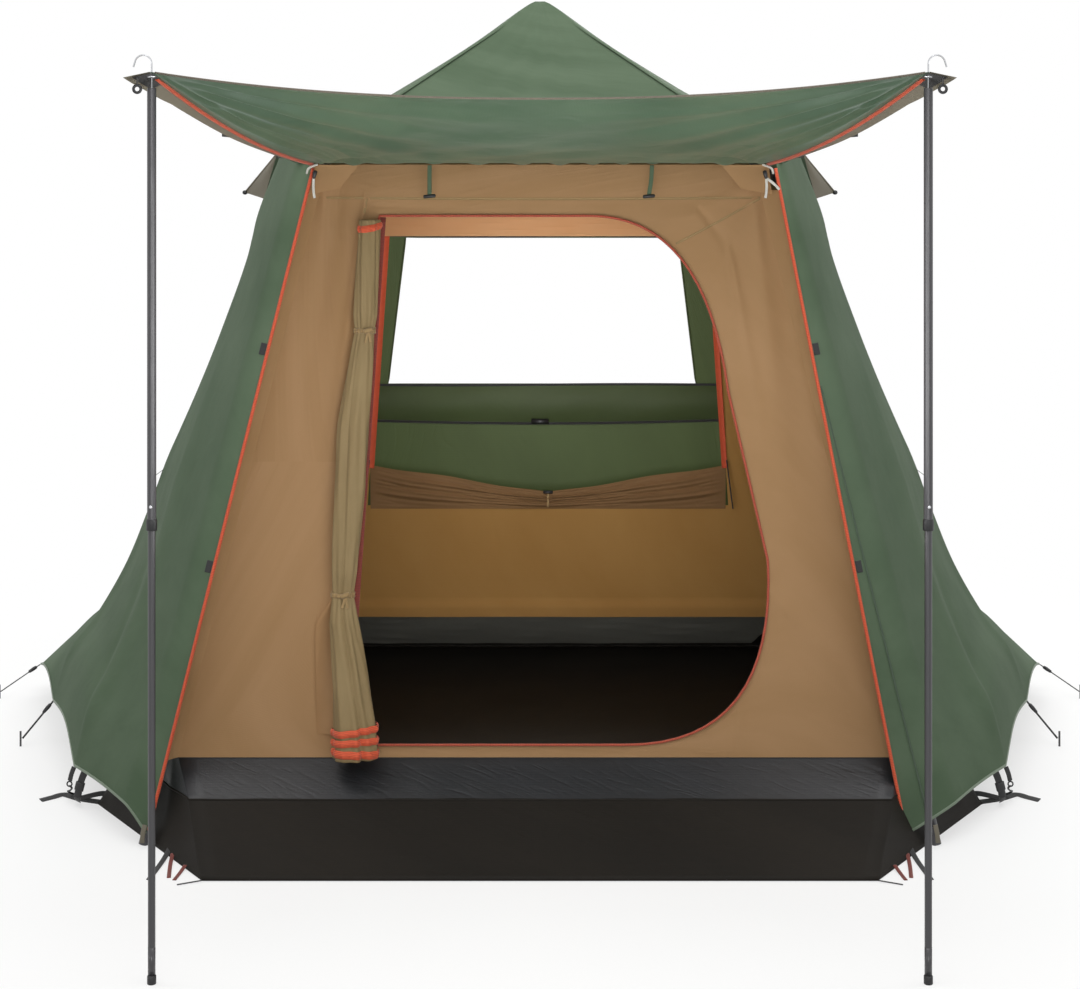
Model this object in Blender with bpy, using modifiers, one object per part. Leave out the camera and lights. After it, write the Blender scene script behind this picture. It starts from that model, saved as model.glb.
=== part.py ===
"""Lodge tent with a hubbed four-leg frame, an inner tent, a fly and a front canopy on two poles.

Metres, +Z up. The origin is on the ground under the hub, +X is to the right of somebody who
looks in at the door, and the door faces -Y.
"""

import math

import bmesh
import bpy
from mathutils import Matrix, Vector

# Clearances
TOUCH_GAP = 0.0003
SEAM_GAP = 0.0004
FIT_GAP = 0.0006

# Fly: the peak, the eaves and the hem
FLY_CLOTH = 0.003
PEAK_Z = 2.23
EAVE_HALF_WIDTH = 0.626
EAVE_Y = 0.816
EAVE_Z = 1.72
SIDE_EAVE_X = 0.826
SIDE_EAVE_RISE = 0.045
SIDE_EAVE_Z = EAVE_Z + SIDE_EAVE_RISE
SIDE_EAVE_STRAIGHT = 0.5
ROOF_SAG = 0.022
FOOT_X = 1.026
FOOT_Y = 0.961
HEM_FOOT_Z = 0.035
RETURN_IN = 0.038
RETURN_OUT = 0.004
HEM_FRONT_X = 1.25
HEM_FRONT_Y = -0.63
HEM_FRONT_Z = 0.105
HEM_SIDE_X = 1.46
HEM_SIDE_Y = -0.03
HEM_SIDE_Z = 0.12
HEM_WING_X = 1.62
HEM_WING_Y = 0.56
HEM_WING_Z = 0.09
WING_BASE_X = 1.26
WING_START = 0.76
REAR_HEM_HALF = 0.83
REAR_HEM_Y = 1.235
REAR_FLARE_START = 0.72
SIDE_SAG = 0.035
UPPER_DRAW = 0.038
UPPER_DRAW_AT = 0.24
HEM_SCALLOP = 0.035
FRONT_HEM_LIFT = 0.062
REAR_WINDOW_TOP_DROP = 0.214
REAR_WINDOW_TOP_Z = EAVE_Z - REAR_WINDOW_TOP_DROP
REAR_WINDOW_SILL_Z = 0.99
REAR_WINDOW_TOP_HALF = 0.49
REAR_WINDOW_SILL_HALF = 0.53
FLAP_HEIGHT = 0.125

# Inner tent and groundsheet
INNER_CLOTH = 0.003
POLE_ROOM = 0.056
ROOF_ROOM = 0.046
RIM_Z = 0.205
FLOOR_CLOTH = 0.004
FLOOR_FRONT_HALF = 0.805
FLOOR_FRONT_Y = 1.195
FLOOR_SIDE_X = 1.17
FLOOR_SIDE_Y = 0.62
RIM_FRONT_HALF = 0.9215
RIM_FRONT_Y = 0.887
RIM_SIDE_X = 1.09
RIM_SIDE_Y = 0.60
DOOR_LEFT = -0.42
DOOR_SILL_Z = 0.238
DOOR_TOP_DROP = 0.135
DOOR_TOP_Z = EAVE_Z - DOOR_TOP_DROP
DOOR_TOP_STRAIGHT = 0.13
DOOR_SHOULDER = (0.487, 1.13)
DOOR_KNEE = (0.585, 0.70)
DOOR_SILL_STRAIGHT = 0.22
DOOR_PIPING = 0.004
INNER_WINDOW_TOP_DROP = 0.208
INNER_WINDOW_TOP_Z = EAVE_Z - INNER_WINDOW_TOP_DROP
INNER_WINDOW_SILL_Z = 0.57
INNER_WINDOW_TOP_HALF = 0.560
INNER_WINDOW_SILL_HALF = 0.629
INNER_WINDOW_SHIFT = 0.028
PANEL_HEIGHT = 0.155

# Frame
HUB_PIVOT_RADIUS = 0.075
HUB_ROOF_GAP = 0.021125
HUB_Z = PEAK_Z - HUB_PIVOT_RADIUS * (PEAK_Z - EAVE_Z) / EAVE_Y - HUB_ROOF_GAP
INNER_PEAK_GAP = 0.037
PEAK_ROOM = PEAK_Z - HUB_Z + INNER_PEAK_GAP
HUB_DISC_RADIUS = 0.046
HUB_DISC_HEIGHT = 0.030
HUB_EAR_THICKNESS = 0.005
HUB_EAR_GAP = 0.025
HUB_EAR_RADIUS = 0.013
HUB_PIN_RADIUS = 0.003
HUB_POST_RADIUS = 0.012
RIDGE_RADIUS = 0.008
LEG_RADIUS = 0.0095
ELBOW_RADIUS = 0.019
ELBOW_HALF = 0.0105
ELBOW_PIN_RADIUS = 0.004
LEG_SIDE_STEP = 0.0225
EYE_WALL = 0.006
ELBOW_INSET = 0.026
ELBOW_DROP = 0.030
ELBOW_Z = EAVE_Z - ELBOW_DROP
FOOT_INSET = 0.026
FOOT_CAP_RADIUS = 0.013
FOOT_CAP_LENGTH = 0.045

# Canopy and its poles
CANOPY_CLOTH = 0.003
CANOPY_FRONT_Y = -1.80
CANOPY_FRONT_Z = 1.883
CANOPY_FRONT_HALF = 0.803
CANOPY_WING = 0.052
CANOPY_SAG = 0.055
CANOPY_BELLY = 0.030
CANOPY_FRONT_CURVE = 0.050
CANOPY_WING_DROP = 0.022
CANOPY_EAVE_GAP = 0.00061
CANOPY_EAVE_STEP = (FLY_CLOTH * (PEAK_Z - EAVE_Z) / math.hypot(EAVE_Y, PEAK_Z - EAVE_Z)
                    + CANOPY_EAVE_GAP)
POLE_UPPER_RADIUS = 0.0095
POLE_WALL = 0.0012
POLE_FIT_GAP = 0.0005
POLE_LOWER_RADIUS = POLE_UPPER_RADIUS - POLE_WALL - POLE_FIT_GAP
POLE_FERRULE_Z = 0.937
POLE_OVERLAP = 0.16
POLE_FOOT_RADIUS = 0.0125
POLE_FOOT_LENGTH = 0.040
HOOK_WIRE = 0.0018
HOOK_RADIUS = 0.0176
HOOK_RISE = 0.020

# Fastenings
ZIP_PIPING = 0.0045
SLIDER_RADIUS = 0.004
SLIDER_LENGTH = 0.018
SLIDER_PULL = 0.048
SLIDER_START = 0.050
CLIP_Z = 1.20
CLIP_SIZE = (0.016, 0.032)
CORD_RADIUS = 0.0016
PEG_RADIUS = 0.003
PEG_LENGTH = 0.045
HOOD_WIDTH = 0.44
HOOD_REACH = 0.105
CLIP_GAP = 0.0005
STRAP_WIDTH = 0.022
STRAP_THICKNESS = 0.002
BUCKLE_SIZE = (0.026, 0.012, 0.040)
TOGGLE_X = 0.285
TOGGLE_DROP = 0.075

PARTS = "lodge_tent"
CUTTERS = "cutters"

COLORS = {
    "fly_green": ((0.105, 0.145, 0.085), 0.62, 0.0),
    "inner_tan": ((0.36, 0.22, 0.10), 0.75, 0.0),
    "floor_black": ((0.016, 0.015, 0.014), 0.42, 0.0),
    "piping_orange": ((0.62, 0.11, 0.03), 0.55, 0.0),
    "frame_steel": ((0.045, 0.045, 0.048), 0.38, 0.6),
    "plastic_black": ((0.014, 0.014, 0.015), 0.45, 0.0),
    "bright_wire": ((0.60, 0.60, 0.62), 0.18, 1.0),
    "cord_black": ((0.02, 0.02, 0.022), 0.8, 0.0),
}


def clear_scene():
    """Remove what the start-up file holds."""
    for obj in list(bpy.data.objects):
        bpy.data.objects.remove(obj, do_unlink=True)


def collection(name):
    """Return the named collection, made and linked when it is new."""
    found = bpy.data.collections.get(name)
    if found is None:
        found = bpy.data.collections.new(name)
        bpy.context.scene.collection.children.link(found)
    return found


def material(name):
    """Return the named Principled material from the table of finishes."""
    found = bpy.data.materials.get(name)
    if found is not None:
        return found
    color, roughness, metallic = COLORS[name]
    made = bpy.data.materials.new(name)
    made.use_nodes = True
    shader = made.node_tree.nodes["Principled BSDF"]
    shader.inputs["Base Color"].default_value = (*color, 1.0)
    shader.inputs["Roughness"].default_value = roughness
    shader.inputs["Metallic"].default_value = metallic
    made.diffuse_color = (*color, 1.0)
    return made


def place(name, data, finish):
    """Put mesh or curve data in the scene as one named part."""
    obj = bpy.data.objects.new(name, data)
    collection(PARTS).objects.link(obj)
    obj.data.materials.append(material(finish))
    return obj


def pivot(name, point):
    """An empty on a joint's axis, which carries the pieces that turn there."""
    empty = bpy.data.objects.new(name, None)
    empty.location = point
    empty.empty_display_size = 0.05
    collection(PARTS).objects.link(empty)
    return empty


def to_mesh(name, bm):
    """Write a bmesh into new mesh data."""
    bmesh.ops.recalc_face_normals(bm, faces=bm.faces)
    data = bpy.data.meshes.new(name)
    bm.to_mesh(data)
    bm.free()
    return data


def smooth(obj, degrees=40):
    """Shade round forms smooth and keep their hard edges."""
    obj.data.shade_smooth()
    obj.data.set_sharp_from_angle(angle=math.radians(degrees))
    return obj


def solidify(obj, thickness, offset=1.0):
    """Give an open sheet its thickness, all on one side."""
    wall = obj.modifiers.new("cloth thickness", "SOLIDIFY")
    wall.thickness = thickness
    wall.offset = offset
    wall.use_even_offset = True
    return obj


def boolean(obj, cutter, operation="DIFFERENCE"):
    """Cut or join with another object, which is then only a guide."""
    step = obj.modifiers.new(operation.lower(), "BOOLEAN")
    step.operation = operation
    step.solver = "EXACT"
    step.object = cutter
    cutter.hide_render = True
    cutter.display_type = "WIRE"
    for home in list(cutter.users_collection):
        home.objects.unlink(cutter)
    collection(CUTTERS).objects.link(cutter)


def sheet(name, point_at, columns, rows, thickness, finish, outward):
    """A cloth sheet: point_at(u, v) over a grid, thickened towards outward(centre)."""
    bm = bmesh.new()
    grid = [[bm.verts.new(point_at(i / columns, j / rows)) for j in range(rows + 1)]
            for i in range(columns + 1)]
    for i in range(columns):
        for j in range(rows):
            bm.faces.new((grid[i][j], grid[i + 1][j], grid[i + 1][j + 1], grid[i][j + 1]))
    bm.normal_update()
    middle = list(bm.faces)[len(bm.faces) // 2]
    if middle.normal.dot(Vector(outward)) < 0:
        bmesh.ops.reverse_faces(bm, faces=bm.faces)
    data = bpy.data.meshes.new(name)
    bm.to_mesh(data)
    bm.free()
    return solidify(place(name, data, finish), thickness)


def turn_to(direction):
    """The rotation that takes +Z to this direction."""
    return Vector(direction).normalized().to_track_quat("Z", "Y").to_matrix().to_4x4()


def rod(bm, start, end, radius, sides=12):
    """Add a capped cylinder between two points."""
    start = Vector(start)
    end = Vector(end)
    along = end - start
    matrix = Matrix.Translation((start + end) / 2) @ turn_to(along)
    bmesh.ops.create_cone(bm, cap_ends=True, segments=sides, radius1=radius, radius2=radius,
                          depth=along.length, matrix=matrix)


def rod_part(name, start, end, radius, finish, sides=12):
    """A capped cylinder as a part of its own."""
    bm = bmesh.new()
    rod(bm, start, end, radius, sides)
    return smooth(place(name, to_mesh(name, bm), finish))


def guide(name, start, end, radius, sides=16):
    """A cylinder that only cuts or joins."""
    return rod_part(name, start, end, radius, "plastic_black", sides)


def block(bm, centre, size, turn=None):
    """Add a box of this size about a centre, turned by a matrix where one is given."""
    matrix = Matrix.Translation(centre)
    if turn is not None:
        matrix = matrix @ turn
    bmesh.ops.create_cube(bm, size=1.0, matrix=matrix @ Matrix.Diagonal((*size, 1.0)))


def wire_part(name, points, radius, finish, closed=False):
    """A round cord or wire along the points, a ring or with capped ends."""
    data = bpy.data.curves.new(name, "CURVE")
    data.dimensions = "3D"
    data.bevel_depth = radius
    data.bevel_resolution = 2
    data.use_fill_caps = True
    line = data.splines.new("POLY")
    line.points.add(len(points) - 1)
    for spot, point in zip(line.points, points):
        spot.co = (*point, 1.0)
    line.use_cyclic_u = closed
    return place(name, data, finish)


def strap(name, points, width, thickness, across, finish):
    """A flat webbing strap along the points, as wide as width in the direction across."""
    side = Vector(across).normalized() * width / 2

    def at(u, v):
        spot = Vector(points[round(u * (len(points) - 1))])
        return spot + side * (2 * v - 1)

    return sheet(name, at, len(points) - 1, 1, thickness, finish, (0, 0, 1))


def lerp(a, b, t):
    """The point or number a fraction t of the way from a to b."""
    return a + (b - a) * t


def ramp(points, fraction):
    """Walk a list of (fraction, point) pairs in straight lines."""
    for (f0, p0), (f1, p1) in zip(points, points[1:]):
        if fraction <= f1 + 1e-9:
            return lerp(Vector(p0), Vector(p1), (fraction - f0) / (f1 - f0))
    return Vector(points[-1][1])


# Lines that the cloth and the frame share

def eave_corner(side, end):
    """Shoulder of the fly over one leg; side and end are -1 or 1."""
    return Vector((side * EAVE_HALF_WIDTH, end * EAVE_Y, EAVE_Z))


def fly_foot(side, end):
    """Where the fly's corner meets the ground at one leg."""
    return Vector((side * FOOT_X, end * FOOT_Y, HEM_FOOT_Z))


def elbow_point(side, end):
    """Centre of the elbow knuckle, under the fly's shoulder."""
    return Vector((side * (EAVE_HALF_WIDTH - ELBOW_INSET), end * (EAVE_Y - ELBOW_INSET), ELBOW_Z))


def leg_foot(side, end):
    """End of a leg on the ground."""
    return Vector((side * (FOOT_X - FOOT_INSET), end * (FOOT_Y - FOOT_INSET), TOUCH_GAP))


def hub_pivot(side, end):
    """Pin of one ridge pole in the hub."""
    aim = elbow_point(side, end)
    flat = Vector((aim.x, aim.y, 0)).normalized()
    return flat * HUB_PIVOT_RADIUS + Vector((0, 0, HUB_Z))


# Fly

ROOF_COLUMNS = 32
ROOF_ROWS = 5
PEAK_RADIUS = 0.02


def side_bow(fraction):
    """How far a side eave stands out, straight along its middle."""
    return min(1.0, (1 - abs(2 * fraction - 1)) / SIDE_EAVE_STRAIGHT)


def roof_edge(around, inset, drop):
    """Eave polygon at a fraction around it, with how far it is from the nearest ridge."""
    corners = [(-1, -1), (1, -1), (1, 1), (-1, 1)]
    scaled = (around % 1.0) * 4
    index = int(scaled) % 4
    fraction = scaled - int(scaled)
    a = eave_corner(*corners[index])
    b = eave_corner(*corners[(index + 1) % 4])
    point = lerp(a, b, fraction)
    if index % 2 == 1:
        bow = side_bow(fraction)
        point.x += math.copysign((SIDE_EAVE_X - EAVE_HALF_WIDTH) * bow, point.x)
        point.z += (SIDE_EAVE_Z - EAVE_Z) * bow
    point.x *= 1 - inset / abs(point.x) if index % 2 == 1 else 1 - inset / EAVE_HALF_WIDTH
    point.y *= 1 - inset / EAVE_Y
    point.z -= drop
    return point, math.sin(math.pi * fraction)


def roof_sheet(name, inset, drop, peak_drop, thickness, finish):
    """The four-ridged roof, from its peak to the eaves, one continuous sheet."""
    bm = bmesh.new()
    peak = Vector((0, 0, PEAK_Z - peak_drop))
    rings = []
    for j in range(ROOF_ROWS + 1):
        ring = []
        for i in range(ROOF_COLUMNS):
            edge, free = roof_edge(i / ROOF_COLUMNS, inset, drop)
            start = peak + (edge - peak) * (PEAK_RADIUS / (edge - peak).length)
            t = j / ROOF_ROWS
            point = lerp(start, edge, t)
            point.z -= ROOF_SAG * free * 4 * t * (1 - t)
            ring.append(bm.verts.new(point))
        rings.append(ring)
    for inner, outer in zip(rings, rings[1:]):
        for i in range(ROOF_COLUMNS):
            k = (i + 1) % ROOF_COLUMNS
            bm.faces.new((inner[i], outer[i], outer[k], inner[k]))
    bm.faces.new(rings[0])
    bmesh.ops.recalc_face_normals(bm, faces=bm.faces)
    bm.normal_update()
    if bm.faces[0].normal.z < 0:
        bmesh.ops.reverse_faces(bm, faces=bm.faces)
    data = bpy.data.meshes.new(name)
    bm.to_mesh(data)
    bm.free()
    return solidify(place(name, data, finish), thickness)


SIDE_STOPS = (0.0, 0.20, 0.50, 0.80, 1.0)
SIDE_COLUMNS = 20


def side_top(fraction, side):
    """Top edge of a side wall, under the side eave."""
    bow = side_bow(fraction)
    return Vector((side * lerp(EAVE_HALF_WIDTH, SIDE_EAVE_X, bow),
                   lerp(-EAVE_Y, EAVE_Y, fraction),
                   lerp(EAVE_Z, SIDE_EAVE_Z, bow)))


def side_hem(fraction, side):
    """Hem of a side wall without its rear wing."""
    points = (fly_foot(1, -1), (HEM_FRONT_X, HEM_FRONT_Y, HEM_FRONT_Z),
              (HEM_SIDE_X, HEM_SIDE_Y, HEM_SIDE_Z), (WING_BASE_X, HEM_WING_Y, HEM_WING_Z),
              fly_foot(1, 1))
    spot = ramp(list(zip(SIDE_STOPS, points)), fraction)
    return Vector((side * spot.x, spot.y, spot.z))


def hem_arch(fraction):
    """0 at each tie-out of the hem and 1 midway between two of them."""
    for low, high in zip(SIDE_STOPS, SIDE_STOPS[1:]):
        if fraction <= high + 1e-9:
            return math.sin(math.pi * (fraction - low) / (high - low))
    return 0.0


def wing_weight(fraction):
    """1 at the rear side tie-out, falling to 0 at the tie-outs beside it."""
    low, peak, high = SIDE_STOPS[2], SIDE_STOPS[3], SIDE_STOPS[4]
    if fraction <= peak:
        return max(0.0, (fraction - low) / (peak - low))
    return max(0.0, (high - fraction) / (high - peak))


def upper_draw(v):
    """How far a side wall is drawn in at a share of the way down, most near its upper quarter."""
    step = v / UPPER_DRAW_AT
    return UPPER_DRAW * step * math.exp(1 - step) * (1 - v) / (1 - UPPER_DRAW_AT)


def fly_side(name, side):
    """One side wall of the fly, from the front leg round to the rear leg.

    Its front corner has a narrow return that runs lower than the hem beside it.
    """
    top_drop = Vector((0, 0, SEAM_GAP))

    def at(u, v):
        column = round(u * (SIDE_COLUMNS + 1)) - 1
        fraction = max(0, column) / SIDE_COLUMNS
        top = side_top(fraction, side) - top_drop
        hem = side_hem(fraction, side)
        hem.z += HEM_SCALLOP * hem_arch(fraction)
        if column >= 0:
            hem.z += FRONT_HEM_LIFT * max(0.0, 1 - fraction / SIDE_STOPS[1])
        point = lerp(top, hem, v)
        drawn = SIDE_SAG * 4 * v * (1 - v) + upper_draw(v)
        point.x -= side * drawn * math.sin(math.pi * fraction)
        flare = max(0.0, (v - WING_START) / (1 - WING_START))
        point.x += side * (HEM_WING_X - WING_BASE_X) * wing_weight(fraction) * flare
        if column < 0:
            point += Vector((-side * RETURN_IN, -RETURN_OUT, 0))
        return point

    return sheet(name, at, SIDE_COLUMNS + 1, 9, FLY_CLOTH, "fly_green", (side, 0, 0))


def flat_wall(name, y_sign, half_top, half_bottom, top, bottom, thickness, finish):
    """A flat four-cornered wall facing the front or the back; top and bottom are (y, z)."""
    def at(u, v):
        half = lerp(half_top, half_bottom, v)
        return Vector((half * (2 * u - 1), y_sign * lerp(top[0], bottom[0], v),
                       lerp(top[1], bottom[1], v)))

    return sheet(name, at, 2, 2, thickness, finish, (0, y_sign, 0.1))


def outline_cutter(name, points, y_low, y_high):
    """A solid along Y with this outline in X and Z, which only cuts."""
    data = bpy.data.curves.new(name, "CURVE")
    data.dimensions = "2D"
    data.fill_mode = "BOTH"
    data.extrude = (y_high - y_low) / 2
    line = data.splines.new("POLY")
    line.points.add(len(points) - 1)
    for spot, point in zip(line.points, points):
        spot.co = (point[0], point[1], 0, 1)
    line.use_cyclic_u = True
    curve = bpy.data.objects.new(name + "_curve", data)
    collection(CUTTERS).objects.link(curve)
    curve.rotation_euler = (math.pi / 2, 0, 0)
    curve.location = (0, (y_low + y_high) / 2, 0)
    bpy.context.view_layer.update()
    graph = bpy.context.evaluated_depsgraph_get()
    mesh = bpy.data.meshes.new_from_object(curve.evaluated_get(graph))
    bm = bmesh.new()
    bm.from_mesh(mesh)
    bmesh.ops.remove_doubles(bm, verts=bm.verts, dist=1e-6)
    bmesh.ops.recalc_face_normals(bm, faces=bm.faces)
    bm.to_mesh(mesh)
    bm.free()
    solid = bpy.data.objects.new(name, mesh)
    solid.matrix_world = curve.matrix_world
    bpy.data.objects.remove(curve, do_unlink=True)
    collection(CUTTERS).objects.link(solid)
    return solid


def fly_rear():
    """Rear wall of the fly, with its window, flared at the hem to cover the tub floor."""
    columns = 20
    corner = 0.1
    top_z = EAVE_Z - SEAM_GAP

    def at(u, v):
        sideways = 2 * u - 1
        flare = max(0.0, (v - REAR_FLARE_START) / (1 - REAR_FLARE_START))
        half = lerp(EAVE_HALF_WIDTH, FOOT_X, v) - SEAM_GAP - 1.5 * FLY_CLOTH * flare
        point = Vector((half * sideways, lerp(EAVE_Y, FOOT_Y, v), lerp(top_z, HEM_FOOT_Z, v)))
        weight = min(1.0, u / corner, (1 - u) / corner)
        inner = FOOT_X * (1 - 2 * corner)
        point.x *= 1 + (REAR_HEM_HALF / inner - 1) * flare * weight
        point.y += (REAR_HEM_Y - FOOT_Y) * flare * weight
        return point

    wall = sheet("fly_rear_wall", at, columns, 7, FLY_CLOTH, "fly_green", (0, 1, 0))
    outline = ((-REAR_WINDOW_TOP_HALF, REAR_WINDOW_TOP_Z), (REAR_WINDOW_TOP_HALF, REAR_WINDOW_TOP_Z),
               (REAR_WINDOW_SILL_HALF, REAR_WINDOW_SILL_Z),
               (-REAR_WINDOW_SILL_HALF, REAR_WINDOW_SILL_Z))
    boolean(wall, outline_cutter("rear_window_cut", outline, EAVE_Y - 0.1, FOOT_Y + 0.1))


def rear_y(z, top_y, top_z, foot_y, foot_z):
    """Depth of a leaning end wall at a height."""
    return lerp(top_y, foot_y, (top_z - z) / (top_z - foot_z))


def window_flap():
    """The fly's window cover, let down and folded in two under the window, on its inner side."""
    def at(u, v):
        half = REAR_WINDOW_SILL_HALF + 0.02
        z = REAR_WINDOW_SILL_Z - 0.002 - FLAP_HEIGHT * v - 0.012 * math.sin(math.pi * u) * v
        bulge = 0.018 * math.sin(math.pi * v)
        y = rear_y(z, EAVE_Y, EAVE_Z, FOOT_Y, HEM_FOOT_Z) - TOUCH_GAP - bulge
        return Vector((half * (2 * u - 1), y, z))

    return sheet("fly_window_flap", at, 10, 6, FLY_CLOTH, "fly_green", (0, -1, 0))


# Inner tent

def inner_top(side, end):
    """Upper corner of the inner tent, inside the leg."""
    return Vector((side * (EAVE_HALF_WIDTH - POLE_ROOM), end * (EAVE_Y - POLE_ROOM),
                   EAVE_Z - ROOF_ROOM))


def bend(start, corner, end, steps=8):
    """Points of a quadratic curve that leaves start and reaches end, pulled to the corner."""
    points = []
    for k in range(1, steps + 1):
        t = k / steps
        points.append(tuple(start[i] * (1 - t) ** 2 + 2 * corner[i] * t * (1 - t) + end[i] * t * t
                            for i in range(2)))
    return points


def door_outline():
    """The door: square on its hinge side, sloping out to the right, with large round corners."""
    top = (DOOR_TOP_STRAIGHT, DOOR_TOP_Z)
    sill = (DOOR_SILL_STRAIGHT, DOOR_SILL_Z)
    points = [(DOOR_LEFT, DOOR_SILL_Z), (DOOR_LEFT, DOOR_TOP_Z), top]
    points += bend(top, (DOOR_SHOULDER[0] - 0.057, DOOR_TOP_Z), DOOR_SHOULDER)
    points.append(DOOR_KNEE)
    points += bend(DOOR_KNEE, (DOOR_KNEE[0] + 0.02, DOOR_SILL_Z), sill)
    return points


def inner_end(name, end):
    """Front or rear wall of the inner tent."""
    top = inner_top(1, end)
    return flat_wall(name, end, top.x - SEAM_GAP, RIM_FRONT_HALF - SEAM_GAP,
                     (abs(top.y), top.z - SEAM_GAP), (RIM_FRONT_Y, RIM_Z + FIT_GAP),
                     INNER_CLOTH, "inner_tan")


def inner_side(name, side):
    """One side wall of the inner tent, between its front and rear corners."""
    def at(u, v):
        bow = side_bow(u)
        corner = inner_top(side, -1)
        top = Vector((side * lerp(abs(corner.x), SIDE_EAVE_X - POLE_ROOM, bow),
                      lerp(corner.y, -corner.y, u),
                      lerp(corner.z, SIDE_EAVE_Z - ROOF_ROOM, bow) - SEAM_GAP))
        rim_points = ((0.0, (RIM_FRONT_HALF, -RIM_FRONT_Y, 0)), (0.25, (RIM_SIDE_X, -RIM_SIDE_Y, 0)),
                      (0.75, (RIM_SIDE_X, RIM_SIDE_Y, 0)), (1.0, (RIM_FRONT_HALF, RIM_FRONT_Y, 0)))
        rim = ramp(rim_points, u)
        foot = Vector((side * rim.x, rim.y, RIM_Z + FIT_GAP))
        return lerp(top, foot, v)

    return sheet(name, at, 8, 4, INNER_CLOTH, "inner_tan", (side, 0, 0))


def groundsheet():
    """The tub floor: an eight-sided floor with a leaning wall all round."""
    floor_half = ((FLOOR_FRONT_HALF, -FLOOR_FRONT_Y), (FLOOR_SIDE_X, -FLOOR_SIDE_Y),
                  (FLOOR_SIDE_X, FLOOR_SIDE_Y), (FLOOR_FRONT_HALF, FLOOR_FRONT_Y))
    rim_half = ((RIM_FRONT_HALF, -RIM_FRONT_Y), (RIM_SIDE_X, -RIM_SIDE_Y),
                (RIM_SIDE_X, RIM_SIDE_Y), (RIM_FRONT_HALF, RIM_FRONT_Y))
    bm = bmesh.new()
    rings = []
    for half, z in ((floor_half, 0.0), (rim_half, RIM_Z)):
        loop = [(x, y) for x, y in half] + [(-x, y) for x, y in reversed(half)]
        rings.append([bm.verts.new((x, y, z)) for x, y in loop])
    count = len(rings[0])
    for i in range(count):
        k = (i + 1) % count
        bm.faces.new((rings[0][i], rings[0][k], rings[1][k], rings[1][i]))
    bm.faces.new(list(reversed(rings[0])))
    bmesh.ops.recalc_face_normals(bm, faces=bm.faces)
    bottom = min(bm.faces, key=lambda face: face.calc_center_median().z)
    bm.normal_update()
    if bottom.normal.z > 0:
        bmesh.ops.reverse_faces(bm, faces=bm.faces)
    data = bpy.data.meshes.new("tub_groundsheet")
    bm.to_mesh(data)
    bm.free()
    solidify(place("tub_groundsheet", data, "floor_black"), FLOOR_CLOTH, offset=-1.0)


def front_wall_y(z):
    """Depth of the inner tent's front wall, outer face, at a height."""
    top = inner_top(1, -1)
    y = rear_y(z, abs(top.y), top.z, RIM_FRONT_Y, RIM_Z)
    return -(y + INNER_CLOTH)


# The rolled door panel, thin where its ties draw it in: height above the sill, radius, sideways
# step, and distance from the wall, which is more where the roll lies over the piping. The heights
# were measured on a door of ROLL_DOOR_HEIGHT and stretch with the real door.
ROLL_DOOR_HEIGHT = 1.347
ROLL_STATIONS = ((1.337, 0.028, -0.023, 0.0075), (1.212, 0.031, -0.026, 0.0075),
                 (1.092, 0.030, -0.029, 0.005), (1.050, 0.023, -0.0315, 0.002),
                 (0.982, 0.031, -0.038, 0.0006), (0.808, 0.040, -0.057, 0.0006),
                 (0.654, 0.040, -0.065, 0.0006), (0.442, 0.032, -0.080, 0.0006),
                 (0.380, 0.025, -0.084, 0.0006), (0.312, 0.036, -0.080, 0.0006),
                 (0.182, 0.046, -0.063, 0.002), (0.066, 0.053, -0.050, 0.006),
                 (-0.016, 0.057, -0.047, 0.0075))


def door_pieces():
    """Piping round the door, and the door panel rolled and tied at its left."""
    outline = door_outline()
    outset = DOOR_PIPING + TOUCH_GAP * 2
    points = [Vector((x, front_wall_y(z) - outset, z)) for x, z in outline]
    wire_part("door_piping", points, DOOR_PIPING, "piping_orange", closed=True)

    sides = 12
    depth = 0.85
    bm = bmesh.new()
    rings = []
    stretch = (DOOR_TOP_Z - DOOR_SILL_Z) / ROLL_DOOR_HEIGHT
    for height, radius, shift, clear in ROLL_STATIONS:
        z = DOOR_SILL_Z + height * stretch
        ring = []
        y = front_wall_y(z) - clear - radius * depth
        for i in range(sides):
            angle = 2 * math.pi * i / sides
            ring.append(bm.verts.new((DOOR_LEFT + shift + radius * math.cos(angle),
                                      y + radius * depth * math.sin(angle), z)))
        rings.append(ring)
    for upper, lower in zip(rings, rings[1:]):
        for i in range(sides):
            k = (i + 1) % sides
            bm.faces.new((upper[i], upper[k], lower[k], lower[i]))
    bm.faces.new(rings[0])
    bm.faces.new(list(reversed(rings[-1])))
    smooth(place("door_panel_rolled", to_mesh("door_panel_rolled", bm), "inner_tan"))


def inner_window_panel():
    """The inner tent's rear panel, unzipped and let down in folds at the window's foot."""
    def at(u, v):
        height = PANEL_HEIGHT * (0.37 + 0.63 * abs(2 * u - 1))
        z = INNER_WINDOW_SILL_Z - 0.012 + height * (1 - v)
        wave = 0.016 * (0.5 - 0.5 * math.cos(2 * math.pi * 3 * u)) * math.sin(math.pi * v)
        top = inner_top(1, 1)
        y = rear_y(z, top.y, top.z, RIM_FRONT_Y, RIM_Z) - TOUCH_GAP - wave
        half = INNER_WINDOW_SILL_HALF - 0.01
        return Vector((INNER_WINDOW_SHIFT + half * (2 * u - 1), y, z))

    return sheet("inner_window_panel", at, 12, 4, INNER_CLOTH, "inner_tan", (0, -1, 0))


# Frame

def fold_axis(side, end):
    """Axis of the hub pin: a positive turn lowers the ridge pole."""
    out = elbow_point(side, end)
    out.z = 0
    return Vector((0, 0, 1)).cross(out.normalized())


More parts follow.
